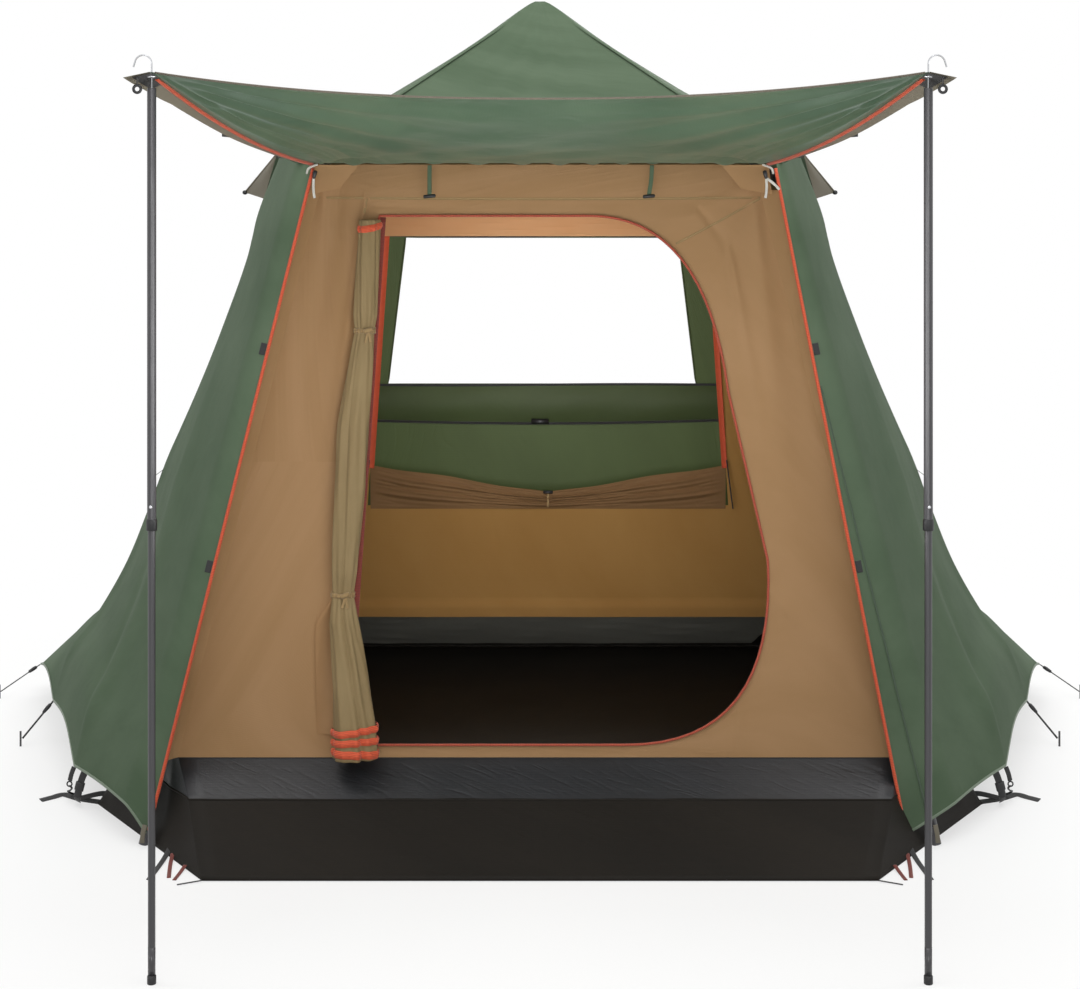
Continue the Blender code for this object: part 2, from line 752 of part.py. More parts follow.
def elbow_axis(side, end):
    """Axis of the elbow pin: a positive turn swings the leg out and up, back over its ridge."""
    ridge = (elbow_point(side, end) - hub_pivot(side, end)).normalized()
    leg = (leg_foot(side, end) - elbow_point(side, end)).normalized()
    return leg.cross(ridge).normalized()


def leg_step(side, end):
    """Offset of a leg beside its ridge pole, always towards the tent's side."""
    axis = elbow_axis(side, end)
    return axis * math.copysign(LEG_SIDE_STEP, axis.x * side)


def hub():
    """The moulded hub: a disc with two ears and a pin for each ridge pole."""
    half = HUB_DISC_HEIGHT / 2
    centre = Vector((0, 0, HUB_Z))
    disc = rod_part("hub", centre - Vector((0, 0, half)), centre + Vector((0, 0, half)),
                    HUB_DISC_RADIUS, "plastic_black", 24)
    slope = (PEAK_Z - EAVE_Z) / math.hypot(EAVE_Y, PEAK_Z - EAVE_Z)
    post_top = PEAK_Z - PEAK_RADIUS * slope + 2 * TOUCH_GAP
    boolean(disc, guide("hub_post", centre, Vector((0, 0, post_top)), HUB_POST_RADIUS), "UNION")
    for side, end in ((-1, -1), (1, -1), (1, 1), (-1, 1)):
        pin = hub_pivot(side, end)
        out = Vector((pin.x, pin.y, 0)).normalized()
        across = fold_axis(side, end)
        tag = f"{side}_{end}"
        for hand in (-1, 1):
            offset = across * hand * (HUB_EAR_GAP + HUB_EAR_THICKNESS) / 2
            bm = bmesh.new()
            start = HUB_DISC_RADIUS * 0.5
            length = HUB_PIVOT_RADIUS + HUB_EAR_RADIUS - start
            turn = Matrix((out, across, Vector((0, 0, 1)))).transposed().to_4x4()
            block(bm, centre + out * (start + length / 2) + offset,
                  (length, HUB_EAR_THICKNESS, 2 * HUB_EAR_RADIUS), turn)
            ear = place(f"hub_ear_{tag}_{hand}", to_mesh("ear", bm), "plastic_black")
            boolean(disc, ear, "UNION")
        reach = HUB_EAR_GAP / 2 + HUB_EAR_THICKNESS * 0.6
        boolean(disc, guide(f"hub_pin_{tag}", pin - across * reach, pin + across * reach,
                            HUB_PIN_RADIUS), "UNION")


def ridge_and_leg(side, end, label):
    """One ridge pole with its elbow, and the leg that folds on it."""
    pin = hub_pivot(side, end)
    knee = elbow_point(side, end)
    foot = leg_foot(side, end)
    hub_axis = fold_axis(side, end)
    knee_axis = elbow_axis(side, end)
    ridge_way = (knee - pin).normalized()
    top_pivot = pivot(f"ridge_pivot_{label}", pin)
    knee_pivot = pivot(f"elbow_pivot_{label}", knee)

    eye_half = HUB_EAR_GAP / 2 - FIT_GAP
    ridge = rod_part(f"ridge_pole_{label}", pin, knee - ridge_way * (ELBOW_RADIUS + TOUCH_GAP),
                     RIDGE_RADIUS, "frame_steel")
    eye = guide(f"ridge_eye_{label}", pin - hub_axis * eye_half, pin + hub_axis * eye_half,
                RIDGE_RADIUS + 0.001)
    boolean(ridge, eye, "UNION")
    boolean(ridge, guide(f"ridge_bore_{label}", pin - hub_axis * 0.05, pin + hub_axis * 0.05,
                         HUB_PIN_RADIUS + FIT_GAP), "DIFFERENCE")

    elbow = rod_part(f"elbow_{label}", knee - knee_axis * ELBOW_HALF, knee + knee_axis * ELBOW_HALF,
                     ELBOW_RADIUS, "plastic_black", 20)
    step = leg_step(side, end)
    outward = step.normalized()
    pin_end = knee + outward * (LEG_SIDE_STEP + LEG_RADIUS + 0.002)
    boolean(elbow, guide(f"elbow_pin_{label}", knee, pin_end, ELBOW_PIN_RADIUS), "UNION")
    leg_top = knee + step
    leg_way = (foot - knee).normalized()
    leg_end = foot + Vector((0, 0, FOOT_CAP_LENGTH * 0.5))
    leg = rod_part(f"leg_{label}", leg_top, leg_end, LEG_RADIUS, "frame_steel")
    boss = guide(f"leg_boss_{label}", leg_top - outward * LEG_RADIUS,
                 leg_top + outward * LEG_RADIUS, ELBOW_PIN_RADIUS + EYE_WALL)
    boolean(leg, boss, "UNION")
    boolean(leg, guide(f"leg_bore_{label}", knee - outward * 0.05, leg_top + outward * 0.05,
                       ELBOW_PIN_RADIUS + FIT_GAP), "DIFFERENCE")
    cap = guide(f"leg_cap_{label}", foot, foot - leg_way * FOOT_CAP_LENGTH, FOOT_CAP_RADIUS)
    boolean(leg, cap, "UNION")
    for obj, parent in ((ridge, top_pivot), (elbow, top_pivot), (leg, knee_pivot)):
        keep_in_place(obj, parent)
    keep_in_place(knee_pivot, top_pivot)
    return leg


def keep_in_place(obj, parent):
    """Hang an object on a parent without moving it."""
    bpy.context.view_layer.update()
    world = obj.matrix_world.copy()
    obj.parent = parent
    obj.matrix_parent_inverse = parent.matrix_world.inverted()
    obj.matrix_world = world


# Canopy

def canopy_point(u, v):
    """Canopy surface: v runs from the eave to the front edge, u from left to right."""
    sideways = 2 * u - 1
    half = lerp(EAVE_HALF_WIDTH, CANOPY_FRONT_HALF + CANOPY_WING, v)
    y = lerp(-EAVE_Y - CANOPY_EAVE_STEP, CANOPY_FRONT_Y, v)
    z = lerp(EAVE_Z + SEAM_GAP, CANOPY_FRONT_Z, v)
    free = 1 - sideways * sideways
    z -= CANOPY_SAG * free * v
    z -= CANOPY_BELLY * 4 * v * (1 - v) * free
    y += CANOPY_FRONT_CURVE * free * v
    wing = max(0.0, abs(sideways) - 0.9) / 0.1
    z -= CANOPY_WING_DROP * wing * v
    return Vector((half * sideways, y, z))


def canopy():
    """The fly's front panel, held out as a canopy, with a hole for each pole's spike."""
    cloth = sheet("canopy", canopy_point, 20, 8, CANOPY_CLOTH, "fly_green", (0, 0, 1))
    holder = pivot("canopy_pivot", (0, -EAVE_Y - CANOPY_EAVE_STEP, EAVE_Z))
    for side in (-1, 1):
        spot = Vector((side * CANOPY_FRONT_HALF, POLE_Y, CANOPY_FRONT_Z))
        boolean(cloth, guide(f"grommet_cut_{side}", spot - Vector((0, 0, 0.2)),
                             spot + Vector((0, 0, 0.2)), HOOK_WIRE + FIT_GAP))
    keep_in_place(cloth, holder)
    return cloth


POLE_Y = CANOPY_FRONT_Y + 0.022
POLE_TOP_Z = CANOPY_FRONT_Z - 0.031


def canopy_pole(side, label):
    """A two-section pole: the lower tube slides up inside the upper one."""
    x = side * CANOPY_FRONT_HALF
    up = Vector((0, 0, 1))
    base = Vector((x, POLE_Y, 0))
    foot_pivot = pivot(f"pole_foot_pivot_{label}", base)
    inner = POLE_UPPER_RADIUS - POLE_WALL
    lower_start = base + up * 0.012
    lower = rod_part(f"canopy_pole_lower_{label}", lower_start,
                     base + up * (POLE_FERRULE_Z + POLE_OVERLAP), POLE_LOWER_RADIUS, "frame_steel")
    foot = rod_part(f"canopy_pole_foot_{label}", base, base + up * POLE_FOOT_LENGTH,
                    POLE_FOOT_RADIUS, "plastic_black", 16)
    boolean(foot, guide(f"foot_socket_{label}", lower_start - up * TOUCH_GAP,
                        base + up * (POLE_FOOT_LENGTH + 0.01), POLE_LOWER_RADIUS + TOUCH_GAP, 16))
    upper = rod_part(f"canopy_pole_upper_{label}", base + up * POLE_FERRULE_Z,
                     base + up * POLE_TOP_Z, POLE_UPPER_RADIUS, "frame_steel", 16)
    boolean(upper, guide(f"upper_bore_{label}", base + up * (POLE_FERRULE_Z - 0.01),
                         base + up * (POLE_TOP_Z - 0.03), inner, 16))
    boolean(upper, guide(f"spike_socket_{label}", base + up * (POLE_TOP_Z - 0.015),
                         base + up * (POLE_TOP_Z + 0.01), HOOK_WIRE + FIT_GAP, 16))

    points = [base + up * (POLE_TOP_Z - 0.0145), base + up * (CANOPY_FRONT_Z + HOOK_RISE)]
    centre = base + up * (CANOPY_FRONT_Z + HOOK_RISE) + Vector((side * HOOK_RADIUS, 0, 0))
    for k in range(1, 10):
        angle = math.pi * (1 - k / 10 * 1.06)
        points.append(centre + Vector((side * HOOK_RADIUS * math.cos(angle), 0,
                                       HOOK_RADIUS * math.sin(angle))))
    points.append(points[-1] + Vector((side * 0.003, 0, -0.010)))
    hook = wire_part(f"lantern_hook_{label}", points, HOOK_WIRE, "bright_wire")
    for obj in (lower, foot, upper, hook):
        keep_in_place(obj, foot_pivot)


# Trim and fastenings

def leg_line_point(side, z, outset):
    """Point beside the front leg's corner seam at a height; outset is towards the viewer."""
    a = eave_corner(side, -1)
    b = fly_foot(side, -1)
    t = (a.z - z) / (a.z - b.z)
    return lerp(a, b, t) + Vector((-side * (RETURN_IN + ZIP_PIPING), -RETURN_OUT - outset, 0))


def zip_track(side, label):
    """The orange zip piping down one front corner of the fly, and its slider."""
    top = leg_line_point(side, EAVE_Z - 0.012, 0.0)
    foot = leg_line_point(side, HEM_FOOT_Z + 0.010, 0.0)
    rod_part(f"fly_zip_piping_{label}", top, foot, ZIP_PIPING, "piping_orange", 8)
    way = (foot - top).normalized()
    start = top + way * SLIDER_START + Vector((0, -ZIP_PIPING - SLIDER_RADIUS - TOUCH_GAP, 0))
    slider = rod_part(f"fly_zip_slider_{label}", start, start + way * SLIDER_LENGTH,
                      SLIDER_RADIUS, "plastic_black", 8)
    pull_start = start + way * (SLIDER_LENGTH - 0.001)
    boolean(slider, guide(f"zip_pull_{label}", pull_start, pull_start + way * SLIDER_PULL,
                          SLIDER_RADIUS * 0.7, 8), "UNION")


def vent_hood(side, label):
    """The stiffened hood that hangs out over a side vent, hinged under the eave."""
    root = Vector((side * (SIDE_EAVE_X + 1.35 * FLY_CLOTH), 0, SIDE_EAVE_Z - 0.004))

    def at(u, v):
        out = HOOD_REACH * v
        taper = lerp(HOOD_WIDTH, HOOD_WIDTH * 0.55, v)
        return root + Vector((side * out * 0.72, taper * (u - 0.5), -out * 0.76))

    hood = sheet(f"vent_hood_{label}", at, 6, 2, FLY_CLOTH, "fly_green", (side, 0, 1))
    keep_in_place(hood, pivot(f"vent_hood_pivot_{label}", root))


def leg_clip(side, end, label):
    """The plastic clip that holds the inner tent's corner to a leg."""
    knee = elbow_point(side, end)
    foot = leg_foot(side, end)
    on_leg = lerp(knee + leg_step(side, end), foot, (knee.z - CLIP_Z) / (knee.z - foot.z))
    top = inner_top(side, end)
    rim = Vector((side * RIM_FRONT_HALF, end * RIM_FRONT_Y, RIM_Z))
    on_cloth = lerp(top, rim, (top.z - CLIP_Z) / (top.z - rim.z))
    up = (knee - foot).normalized()
    way = on_cloth - on_leg
    way -= up * way.dot(up)
    reach = way.length
    way.normalize()
    turn = Matrix((way, up.cross(way), up)).transposed().to_4x4()
    start = LEG_RADIUS - 2 * CLIP_GAP
    length = reach - start - INNER_CLOTH * 1.9
    bm = bmesh.new()
    block(bm, on_leg + way * (start + length / 2), (length, CLIP_SIZE[0], CLIP_SIZE[1]), turn)
    place(f"leg_clip_{label}", to_mesh(f"leg_clip_{label}", bm), "plastic_black")


def corner_straps(side, label):
    """Webbing from the fly and the floor to one ground loop at the front side corner."""
    start = Vector((side * (FLOOR_SIDE_X + CLIP_GAP), -FLOOR_SIDE_Y, 0.0005))
    ground = Vector((side * (HEM_FRONT_X + 0.03), HEM_FRONT_Y - 0.03, 0.0005))
    end_out = ground + Vector((side * 0.13, -0.03, 0.0))
    strap(f"ground_loop_strap_{label}", [start, ground, end_out], STRAP_WIDTH, STRAP_THICKNESS,
          (0.35 * side, 1, 0), "plastic_black")
    top = Vector((side * (HEM_FRONT_X + FLY_CLOTH * 0.5), HEM_FRONT_Y, HEM_FRONT_Z - 0.0008))
    low = ground + Vector((0, 0, STRAP_THICKNESS + TOUCH_GAP + BUCKLE_SIZE[2] / 2))
    bm = bmesh.new()
    block(bm, lerp(top, low, 0.5), (0.003, 0.020, (low - top).length), turn_to(low - top))
    webbing = place(f"corner_buckle_{label}", to_mesh("corner_buckle", bm), "plastic_black")
    bm = bmesh.new()
    block(bm, low, BUCKLE_SIZE)
    boolean(webbing, place(f"buckle_body_{label}", to_mesh("buckle_body", bm), "plastic_black"),
            "UNION")


def guy_and_peg(side, label, tie_out, clear, peg_at):
    """A short guy cord to its peg; clear is how far from the tie-out's X it starts."""
    start = Vector((side * (tie_out[0] + clear), tie_out[1], tie_out[2] + CORD_RADIUS))
    end = Vector((side * peg_at[0], peg_at[1], PEG_LENGTH * 0.5))
    way = (end - start).normalized()
    flat = Vector((way.x, way.y, 0)).normalized()
    end -= flat * (PEG_RADIUS + CORD_RADIUS * abs(way.z) + 2 * TOUCH_GAP)
    points = [lerp(start, end, k / 8) for k in range(9)]
    wire_part(f"guy_cord_{label}", points, CORD_RADIUS, "cord_black")
    peg_top = Vector((side * peg_at[0], peg_at[1], PEG_LENGTH))
    rod_part(f"guy_peg_{label}", Vector((peg_top.x, peg_top.y, 0)), peg_top, PEG_RADIUS,
             "bright_wire", 10)


def canopy_toggle(side, label):
    """The loop and toggle under the eave, used to tie up the door and the canopy."""
    x = side * TOGGLE_X
    top = EAVE_Z
    y = -EAVE_Y - 0.012
    rod_part(f"eave_toggle_{label}", Vector((x, y, top)), Vector((x, y, top - TOGGLE_DROP)),
             0.004, "plastic_black", 8)


def build():
    """Build every part."""
    clear_scene()
    roof_sheet("fly_roof", 0.0, 0.0, 0.0, FLY_CLOTH, "fly_green")
    roof_sheet("inner_roof", POLE_ROOM, ROOF_ROOM, PEAK_ROOM, INNER_CLOTH, "inner_tan")
    groundsheet()
    fly_rear()
    window_flap()
    front = inner_end("inner_front_wall", -1)
    boolean(front, outline_cutter("door_cut", door_outline(), -FLOOR_FRONT_Y, -0.5))
    back = inner_end("inner_rear_wall", 1)
    low = INNER_WINDOW_SILL_HALF
    high = INNER_WINDOW_TOP_HALF
    shift = INNER_WINDOW_SHIFT
    opening = ((shift - low, INNER_WINDOW_SILL_Z), (shift + low, INNER_WINDOW_SILL_Z),
               (shift + high, INNER_WINDOW_TOP_Z), (shift - high, INNER_WINDOW_TOP_Z))
    boolean(back, outline_cutter("inner_window_cut", opening, 0.5, FLOOR_FRONT_Y))
    inner_window_panel()
    door_pieces()
    hub()
    for side, hand in ((-1, "left"), (1, "right")):
        fly_side(f"fly_side_{hand}", side)
        inner_side(f"inner_side_{hand}", side)
        zip_track(side, hand)
        vent_hood(side, hand)
        canopy_pole(side, hand)
        corner_straps(side, hand)
        guy_and_peg(side, f"side_{hand}", (HEM_SIDE_X, HEM_SIDE_Y, HEM_SIDE_Z), 0.0044,
                    (HEM_SIDE_X + 0.09, HEM_SIDE_Y - 0.05))
        guy_and_peg(side, f"rear_{hand}", (HEM_WING_X, HEM_WING_Y, HEM_WING_Z), 0.0027,
                    (HEM_WING_X + 0.15, HEM_WING_Y - 0.10))
        canopy_toggle(side, hand)
        for end, place_name in ((-1, "front"), (1, "rear")):
            ridge_and_leg(side, end, f"{place_name}_{hand}")
            leg_clip(side, end, f"{place_name}_{hand}")
    canopy()


build()
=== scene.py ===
"""Looks of a lodge tent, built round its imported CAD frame.

The tent stands on a folding hub frame. A green coated fly goes over a tan inner tent with a black
tub floor, and the fly's front panel is held out as a canopy on two poles. All lengths are in
metres in the row frame: +Z up, the door faces -Y, the origin is on the ground under the hub.
"""

from __future__ import annotations

import logging
import math
from dataclasses import dataclass
from enum import Enum
from typing import Callable, Optional, Sequence, Union

import bmesh
import bpy
import numpy as np
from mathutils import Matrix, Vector
from numpy.typing import NDArray

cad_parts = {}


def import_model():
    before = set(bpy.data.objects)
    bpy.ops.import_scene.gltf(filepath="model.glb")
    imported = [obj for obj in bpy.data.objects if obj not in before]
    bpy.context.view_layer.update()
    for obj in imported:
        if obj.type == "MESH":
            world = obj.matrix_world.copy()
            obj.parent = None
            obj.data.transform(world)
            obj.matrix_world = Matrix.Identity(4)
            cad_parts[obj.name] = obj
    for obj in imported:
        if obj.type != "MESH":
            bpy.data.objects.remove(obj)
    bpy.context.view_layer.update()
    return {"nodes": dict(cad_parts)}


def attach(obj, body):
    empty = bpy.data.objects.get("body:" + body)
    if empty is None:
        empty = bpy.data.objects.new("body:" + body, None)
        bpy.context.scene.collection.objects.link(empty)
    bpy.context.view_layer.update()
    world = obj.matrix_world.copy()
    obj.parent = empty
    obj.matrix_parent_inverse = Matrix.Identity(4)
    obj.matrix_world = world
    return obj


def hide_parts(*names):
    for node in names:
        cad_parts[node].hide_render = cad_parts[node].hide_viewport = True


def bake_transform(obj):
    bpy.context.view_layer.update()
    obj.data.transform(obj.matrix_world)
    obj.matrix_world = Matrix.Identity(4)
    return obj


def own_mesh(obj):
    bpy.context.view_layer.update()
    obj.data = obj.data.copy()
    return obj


LOG = logging.getLogger("lodge_tent")
Array = NDArray[np.float64]
Number = Union[float, Array]
Linear = tuple[float, float, float, float]
Profile = Sequence[tuple[float, float]]
Spot = tuple[float, float, float]
Piece = bpy.types.Object
Tree = bpy.types.NodeTree


class Hand(Enum):
    """The tent's two sides, as somebody who looks in at the door sees them."""

    LEFT = -1
    RIGHT = 1

    @property
    def word(self) -> str:
        """Name used in the CAD's node and body names."""
        return self.name.lower()


class End(Enum):
    """The tent's door end and its window end."""

    FRONT = -1
    REAR = 1

    @property
    def word(self) -> str:
        """Name used in the CAD's node and body names."""
        return self.name.lower()


class Coordinates(Enum):
    """What a pattern follows."""

    CLOTH = "UV"
    SOLID = "Object"


# Colour and nodes


def linear(hex_color: str, alpha: float = 1.0) -> Linear:
    """Turn an sRGB hex colour such as "#566653" into linear values.

    Args:
        hex_color: the colour as # and six hex digits.
        alpha: its opacity.

    Returns:
        Linear red, green and blue, and alpha.
    """
    channels = [int(hex_color[i:i + 2], 16) / 255 for i in (1, 3, 5)]
    low = [c / 12.92 if c <= 0.04045 else ((c + 0.055) / 1.055) ** 2.4 for c in channels]
    return (low[0], low[1], low[2], alpha)


def add_node(tree: Tree, kind: str, inputs: Optional[dict] = None, **settings: str) -> bpy.types.Node:
    """Add a node with its settings and links.

    Args:
        tree: the material's or the world's node tree.
        kind: the node's type name, without its ShaderNode prefix.
        inputs: socket name or number to a value, or to an output socket to link from.
        settings: the node's own attributes by name.

    Returns:
        The new node.
    """
    node = tree.nodes.new(f"ShaderNode{kind}")
    for key, value in settings.items():
        setattr(node, key, value)
    for key, value in (inputs or {}).items():
        socket = node.inputs[key]
        if isinstance(value, bpy.types.NodeSocket):
            tree.links.new(value, socket)
        else:
            socket.default_value = value
    return node


def blank_tree(block: Union[bpy.types.Material, bpy.types.World]) -> Tree:
    """Turn on the nodes of a material or a world, and clear them."""
    block.use_nodes = True
    block.node_tree.nodes.clear()
    return block.node_tree


def seen_share(tree: Tree) -> bpy.types.NodeSocket:
    """Socket that is 1 for what the eye sees straight, in a reflection or through a surface."""
    rays = add_node(tree, "LightPath").outputs
    share = rays["Is Camera Ray"]
    for kind in ("Is Glossy Ray", "Is Transmission Ray"):
        share = add_node(tree, "Math", {0: share, 1: rays[kind]}, operation="MAXIMUM").outputs[0]
    return share


def wave_scale(period: float) -> float:
    """Scale at which a wave texture's bands are this many metres apart."""
    return 2 * math.pi / 20 / period


# Finishes


@dataclass(frozen=True)
class Cloth:
    """A coated woven cloth, with its weave, its crinkles and its uneven dye.

    Attributes:
        name: what the cloth is and how it was made.
        color: face colour, hex.
        worn: colour of the paler, rubbed or stretched places, hex.
        thread_mm: spacing of the drawn threads.
        crinkle_mm: size of the small creases that handling leaves.
        crinkle_depth_mm: depth of those creases.
        roughness: how matt the face is.
        sheen: weight of the nap's glow at grazing angles.
        light_through: share of the light that goes through the cloth.
        gloss: strength of the coating's shine.
    """

    name: str
    color: str
    worn: str
    thread_mm: float = 3.0
    crinkle_mm: float = 45.0
    crinkle_depth_mm: float = 1.6
    roughness: float = 0.6
    sheen: float = 0.15
    light_through: float = 0.0
    gloss: float = 0.35

    def build(self) -> bpy.types.Material:
        """Make the material.

        Returns:
            A Principled cloth, mixed with Translucent where light goes through it.
        """
        made = bpy.data.materials.new(self.name)
        tree = blank_tree(made)
        place = add_node(tree, "TexCoord").outputs[Coordinates.CLOTH.value]
        threads = {"Vector": place, "Scale": wave_scale(self.thread_mm / 1000), "Distortion": 0.3}
        warp, weft = (
            add_node(tree, "TexWave", threads, wave_type="BANDS", bands_direction=axis).outputs["Fac"]
            for axis in ("X", "Y"))
        weave = add_node(tree, "Math", {0: warp, 1: weft}, operation="ADD")
        crinkle = add_node(
            tree, "TexNoise", {"Vector": place, "Scale": 1000 / self.crinkle_mm, "Detail": 3.0,
                               "Roughness": 0.45, "Distortion": 0.6}, noise_type="RIDGED_MULTIFRACTAL")
        cloud = add_node(
            tree, "TexNoise", {"Vector": place, "Scale": 3.2, "Detail": 4.0, "Roughness": 0.55})
        ramp = add_node(
            tree, "MapRange", {"Value": cloud.outputs["Fac"], 1: 0.35, 2: 0.75, 3: 0.0, 4: 0.75})
        tone = add_node(tree, "Mix", {0: ramp.outputs[0], 6: linear(self.color), 7: linear(self.worn)},
                        data_type="RGBA")
        fine = add_node(tree, "Bump", {"Height": weave.outputs[0], "Strength": 0.25,
                                       "Distance": self.thread_mm / 1000 * 0.12})
        bump = add_node(
            tree, "Bump", {"Height": crinkle.outputs["Fac"], "Strength": 0.5,
                           "Distance": self.crinkle_depth_mm / 1000, "Normal": fine.outputs[0]})
        shader = add_node(
            tree, "BsdfPrincipled", {"Base Color": tone.outputs[2], "Roughness": self.roughness,
                                     "Sheen Weight": self.sheen, "Sheen Roughness": 0.45,
                                     "Specular IOR Level": self.gloss, "Normal": bump.outputs[0]})
        surface = shader.outputs[0]
        if self.light_through > 0:
            glow = add_node(
                tree, "BsdfTranslucent", {"Color": tone.outputs[2], "Normal": bump.outputs[0]})
            mixed = add_node(tree, "MixShader", {0: self.light_through, 1: surface, 2: glow.outputs[0]})
            surface = mixed.outputs[0]
        add_node(tree, "OutputMaterial", {"Surface": surface})
        return made


@dataclass(frozen=True)
class Hard:
    """A moulded, coated or plated surface.

    Attributes:
        name: what it is and how it was made.
        color: hex.
        grain_mm: size of its grain, orange peel or polishing marks.
        grain_depth_mm: their depth.
        roughness: mean roughness.
        metallic: 1 for bare metal.
        coat: weight of a clear coat.
    """

    name: str
    color: str
    grain_mm: float = 1.0
    grain_depth_mm: float = 0.05
    roughness: float = 0.45
    metallic: float = 0.0
    coat: float = 0.0

    def build(self) -> bpy.types.Material:
        """Make the material.

        Returns:
            A Principled material with grain and uneven gloss.
        """
        made = bpy.data.materials.new(self.name)
        tree = blank_tree(made)
        place = add_node(tree, "TexCoord").outputs[Coordinates.SOLID.value]
        grain = add_node(
            tree, "TexNoise", {"Vector": place, "Scale": 1000 / self.grain_mm, "Detail": 2.0})
        smear = add_node(tree, "TexNoise", {"Vector": place, "Scale": 18.0, "Detail": 3.0})
        gloss = add_node(tree, "MapRange", {"Value": smear.outputs["Fac"], 1: 0.3, 2: 0.7,
                                            3: self.roughness - 0.06, 4: self.roughness + 0.08})
        bump = add_node(tree, "Bump", {"Height": grain.outputs["Fac"], "Strength": 0.4,
                                       "Distance": self.grain_depth_mm / 1000})
        shader = add_node(
            tree, "BsdfPrincipled", {"Base Color": linear(self.color), "Metallic": self.metallic,
                                     "Roughness": gloss.outputs[0], "Coat Weight": self.coat,
                                     "Coat Roughness": 0.2, "Normal": bump.outputs[0]})
        add_node(tree, "OutputMaterial", {"Surface": shader.outputs[0]})
        return made


@dataclass(frozen=True)
class Ribbed:
    """Webbing, grosgrain, cord or piping, ribbed along its length.

    Attributes:
        name: what it is and how it was made.
        color: hex of the crowns of the ribs.
        groove: hex between the ribs, darker as painted shade in the grooves.
        rib_mm: spacing of the ribs along the piece.
        slant: how far the ribs lean, 0 for straight across, 1 for a braid.
        roughness: mean roughness.
    """

    name: str
    color: str
    groove: str
    rib_mm: float = 3.0
    slant: float = 0.0
    roughness: float = 0.7

    def build(self) -> bpy.types.Material:
        """Make the material.

        Returns:
            A Principled material whose ribs follow the piece's UV map.
        """
        made = bpy.data.materials.new(self.name)
        tree = blank_tree(made)
        place = add_node(tree, "TexCoord").outputs[Coordinates.CLOTH.value]
        turned = add_node(tree, "Mapping", {"Vector": place, "Rotation": (0.0, 0.0, self.slant * 0.6)})
        ribs = add_node(
            tree, "TexWave", {"Vector": turned.outputs[0], "Scale": wave_scale(self.rib_mm / 1000)},
            wave_type="BANDS", bands_direction="Y")
        # The grooves between the ribs take the darker colour: painted shade
        tone = add_node(
            tree, "Mix", {0: ribs.outputs["Fac"], 6: linear(self.groove), 7: linear(self.color)},
            data_type="RGBA")
        bump = add_node(tree, "Bump", {"Height": ribs.outputs["Fac"], "Strength": 0.6,
                                       "Distance": self.rib_mm / 1000 * 0.2})
        shader = add_node(
            tree, "BsdfPrincipled", {"Base Color": tone.outputs[2], "Roughness": self.roughness,
                                     "Sheen Weight": 0.2, "Normal": bump.outputs[0]})
        add_node(tree, "OutputMaterial", {"Surface": shader.outputs[0]})
        return made


Finish = Union[Cloth, Hard, Ribbed]

# Polyester taffeta with a water-repelling coat: deep grey-green, dull, with a pale bloom on bends
FLY_TAFFETA = Cloth(
    "coated polyester taffeta, forest green", "#546650", "#697a64", roughness=0.75, sheen=0.02,
    gloss=0.12, light_through=0.20)
# The same cloth on the canopy, which is stretched and shows more small creases from its corners; its
# green, darker than the fly's, is painted shade on the underside seen from below
CANOPY_TAFFETA = Cloth(
    "coated polyester taffeta, canopy", "#3f5241", "#536652", crinkle_mm=70.0, crinkle_depth_mm=4.5,
    roughness=0.32, sheen=0.04, gloss=0.60, light_through=0.30)
# The same cloth at the back, which the light comes through: yellower
FLY_SUNNY = Cloth(
    "coated polyester taffeta, green against the light", "#414d2b", "#4b5934", sheen=0.03,
    light_through=0.22)
# Uncoated breathable polyester: warm tan, soft, lets a good deal of light through
INNER_POLYESTER = Cloth(
    "breathable polyester, tan", "#a9845a", "#b8926a", crinkle_mm=70.0, crinkle_depth_mm=1.4,
    roughness=0.72, sheen=0.08, light_through=0.30)
# The same cloth over the rear window's head, bright with the light from above
INNER_LIT = Cloth(
    "breathable polyester, tan lit through", "#e6b07c", "#eebd8c", crinkle_mm=70.0, crinkle_depth_mm=1.0,
    roughness=0.75, sheen=0.03, light_through=0.45)
# The same cloth at the back, golden against the light
INNER_SUNNY = Cloth(
    "breathable polyester, tan against the light", "#ad8043", "#ba8e50", crinkle_mm=70.0,
    crinkle_depth_mm=1.0, roughness=0.75, sheen=0.03, light_through=0.30)
# The door panel's weather side, a greyer khaki
INNER_BACK = Cloth(
    "breathable polyester, khaki back", "#87734f", "#99845e", crinkle_mm=40.0, crinkle_depth_mm=1.4,
    roughness=0.72, sheen=0.05, light_through=0.15)
# The rear panel's folds, which lie in the shade of one another
PANEL_POLYESTER = Cloth(
    "breathable polyester, shaded tan", "#7a5b39", "#8a6843", crinkle_mm=30.0, crinkle_depth_mm=1.8,
    roughness=0.75, sheen=0.03, light_through=0.15)
# Heavy floor cloth, coated until it is watertight: brown-black with a waxy shine
FLOOR_OXFORD = Cloth(
    "coated oxford floor cloth, brown-black", "#191612", "#201c17", thread_mm=4.0, crinkle_mm=38.0,
    crinkle_depth_mm=1.0, roughness=0.6, sheen=0.0, gloss=0.14)
# The floor's upper band, a smoother coated strip that looks bluer and shinier than the floor
FLOOR_BAND = Cloth(
    "coated oxford band, blue-black", "#1f2022", "#292a2e", thread_mm=4.0, crinkle_mm=30.0,
    crinkle_depth_mm=2.0, roughness=0.38, sheen=0.0, gloss=0.45)
# The band's inner face: the same black band cloth, painted pale grey as painted light from what comes in
# at the door
BAND_INSIDE_PAINTED_LIGHT = Cloth(
    "coated oxford band, inner face", "#7c7b73", "#8c8b82", thread_mm=4.0, crinkle_mm=40.0,
    crinkle_depth_mm=2.0, roughness=0.5, sheen=0.0)
# The fly's underside hem facings, grey-brown in the light
FACING = Cloth("polyester facing tape, grey-brown", "#6f695b", "#7e7868", light_through=0.1)
# The doubled edge along the fly's hem
HEM_BINDING = Cloth("polyester hem binding, grey-green", "#6a7866", "#788673")
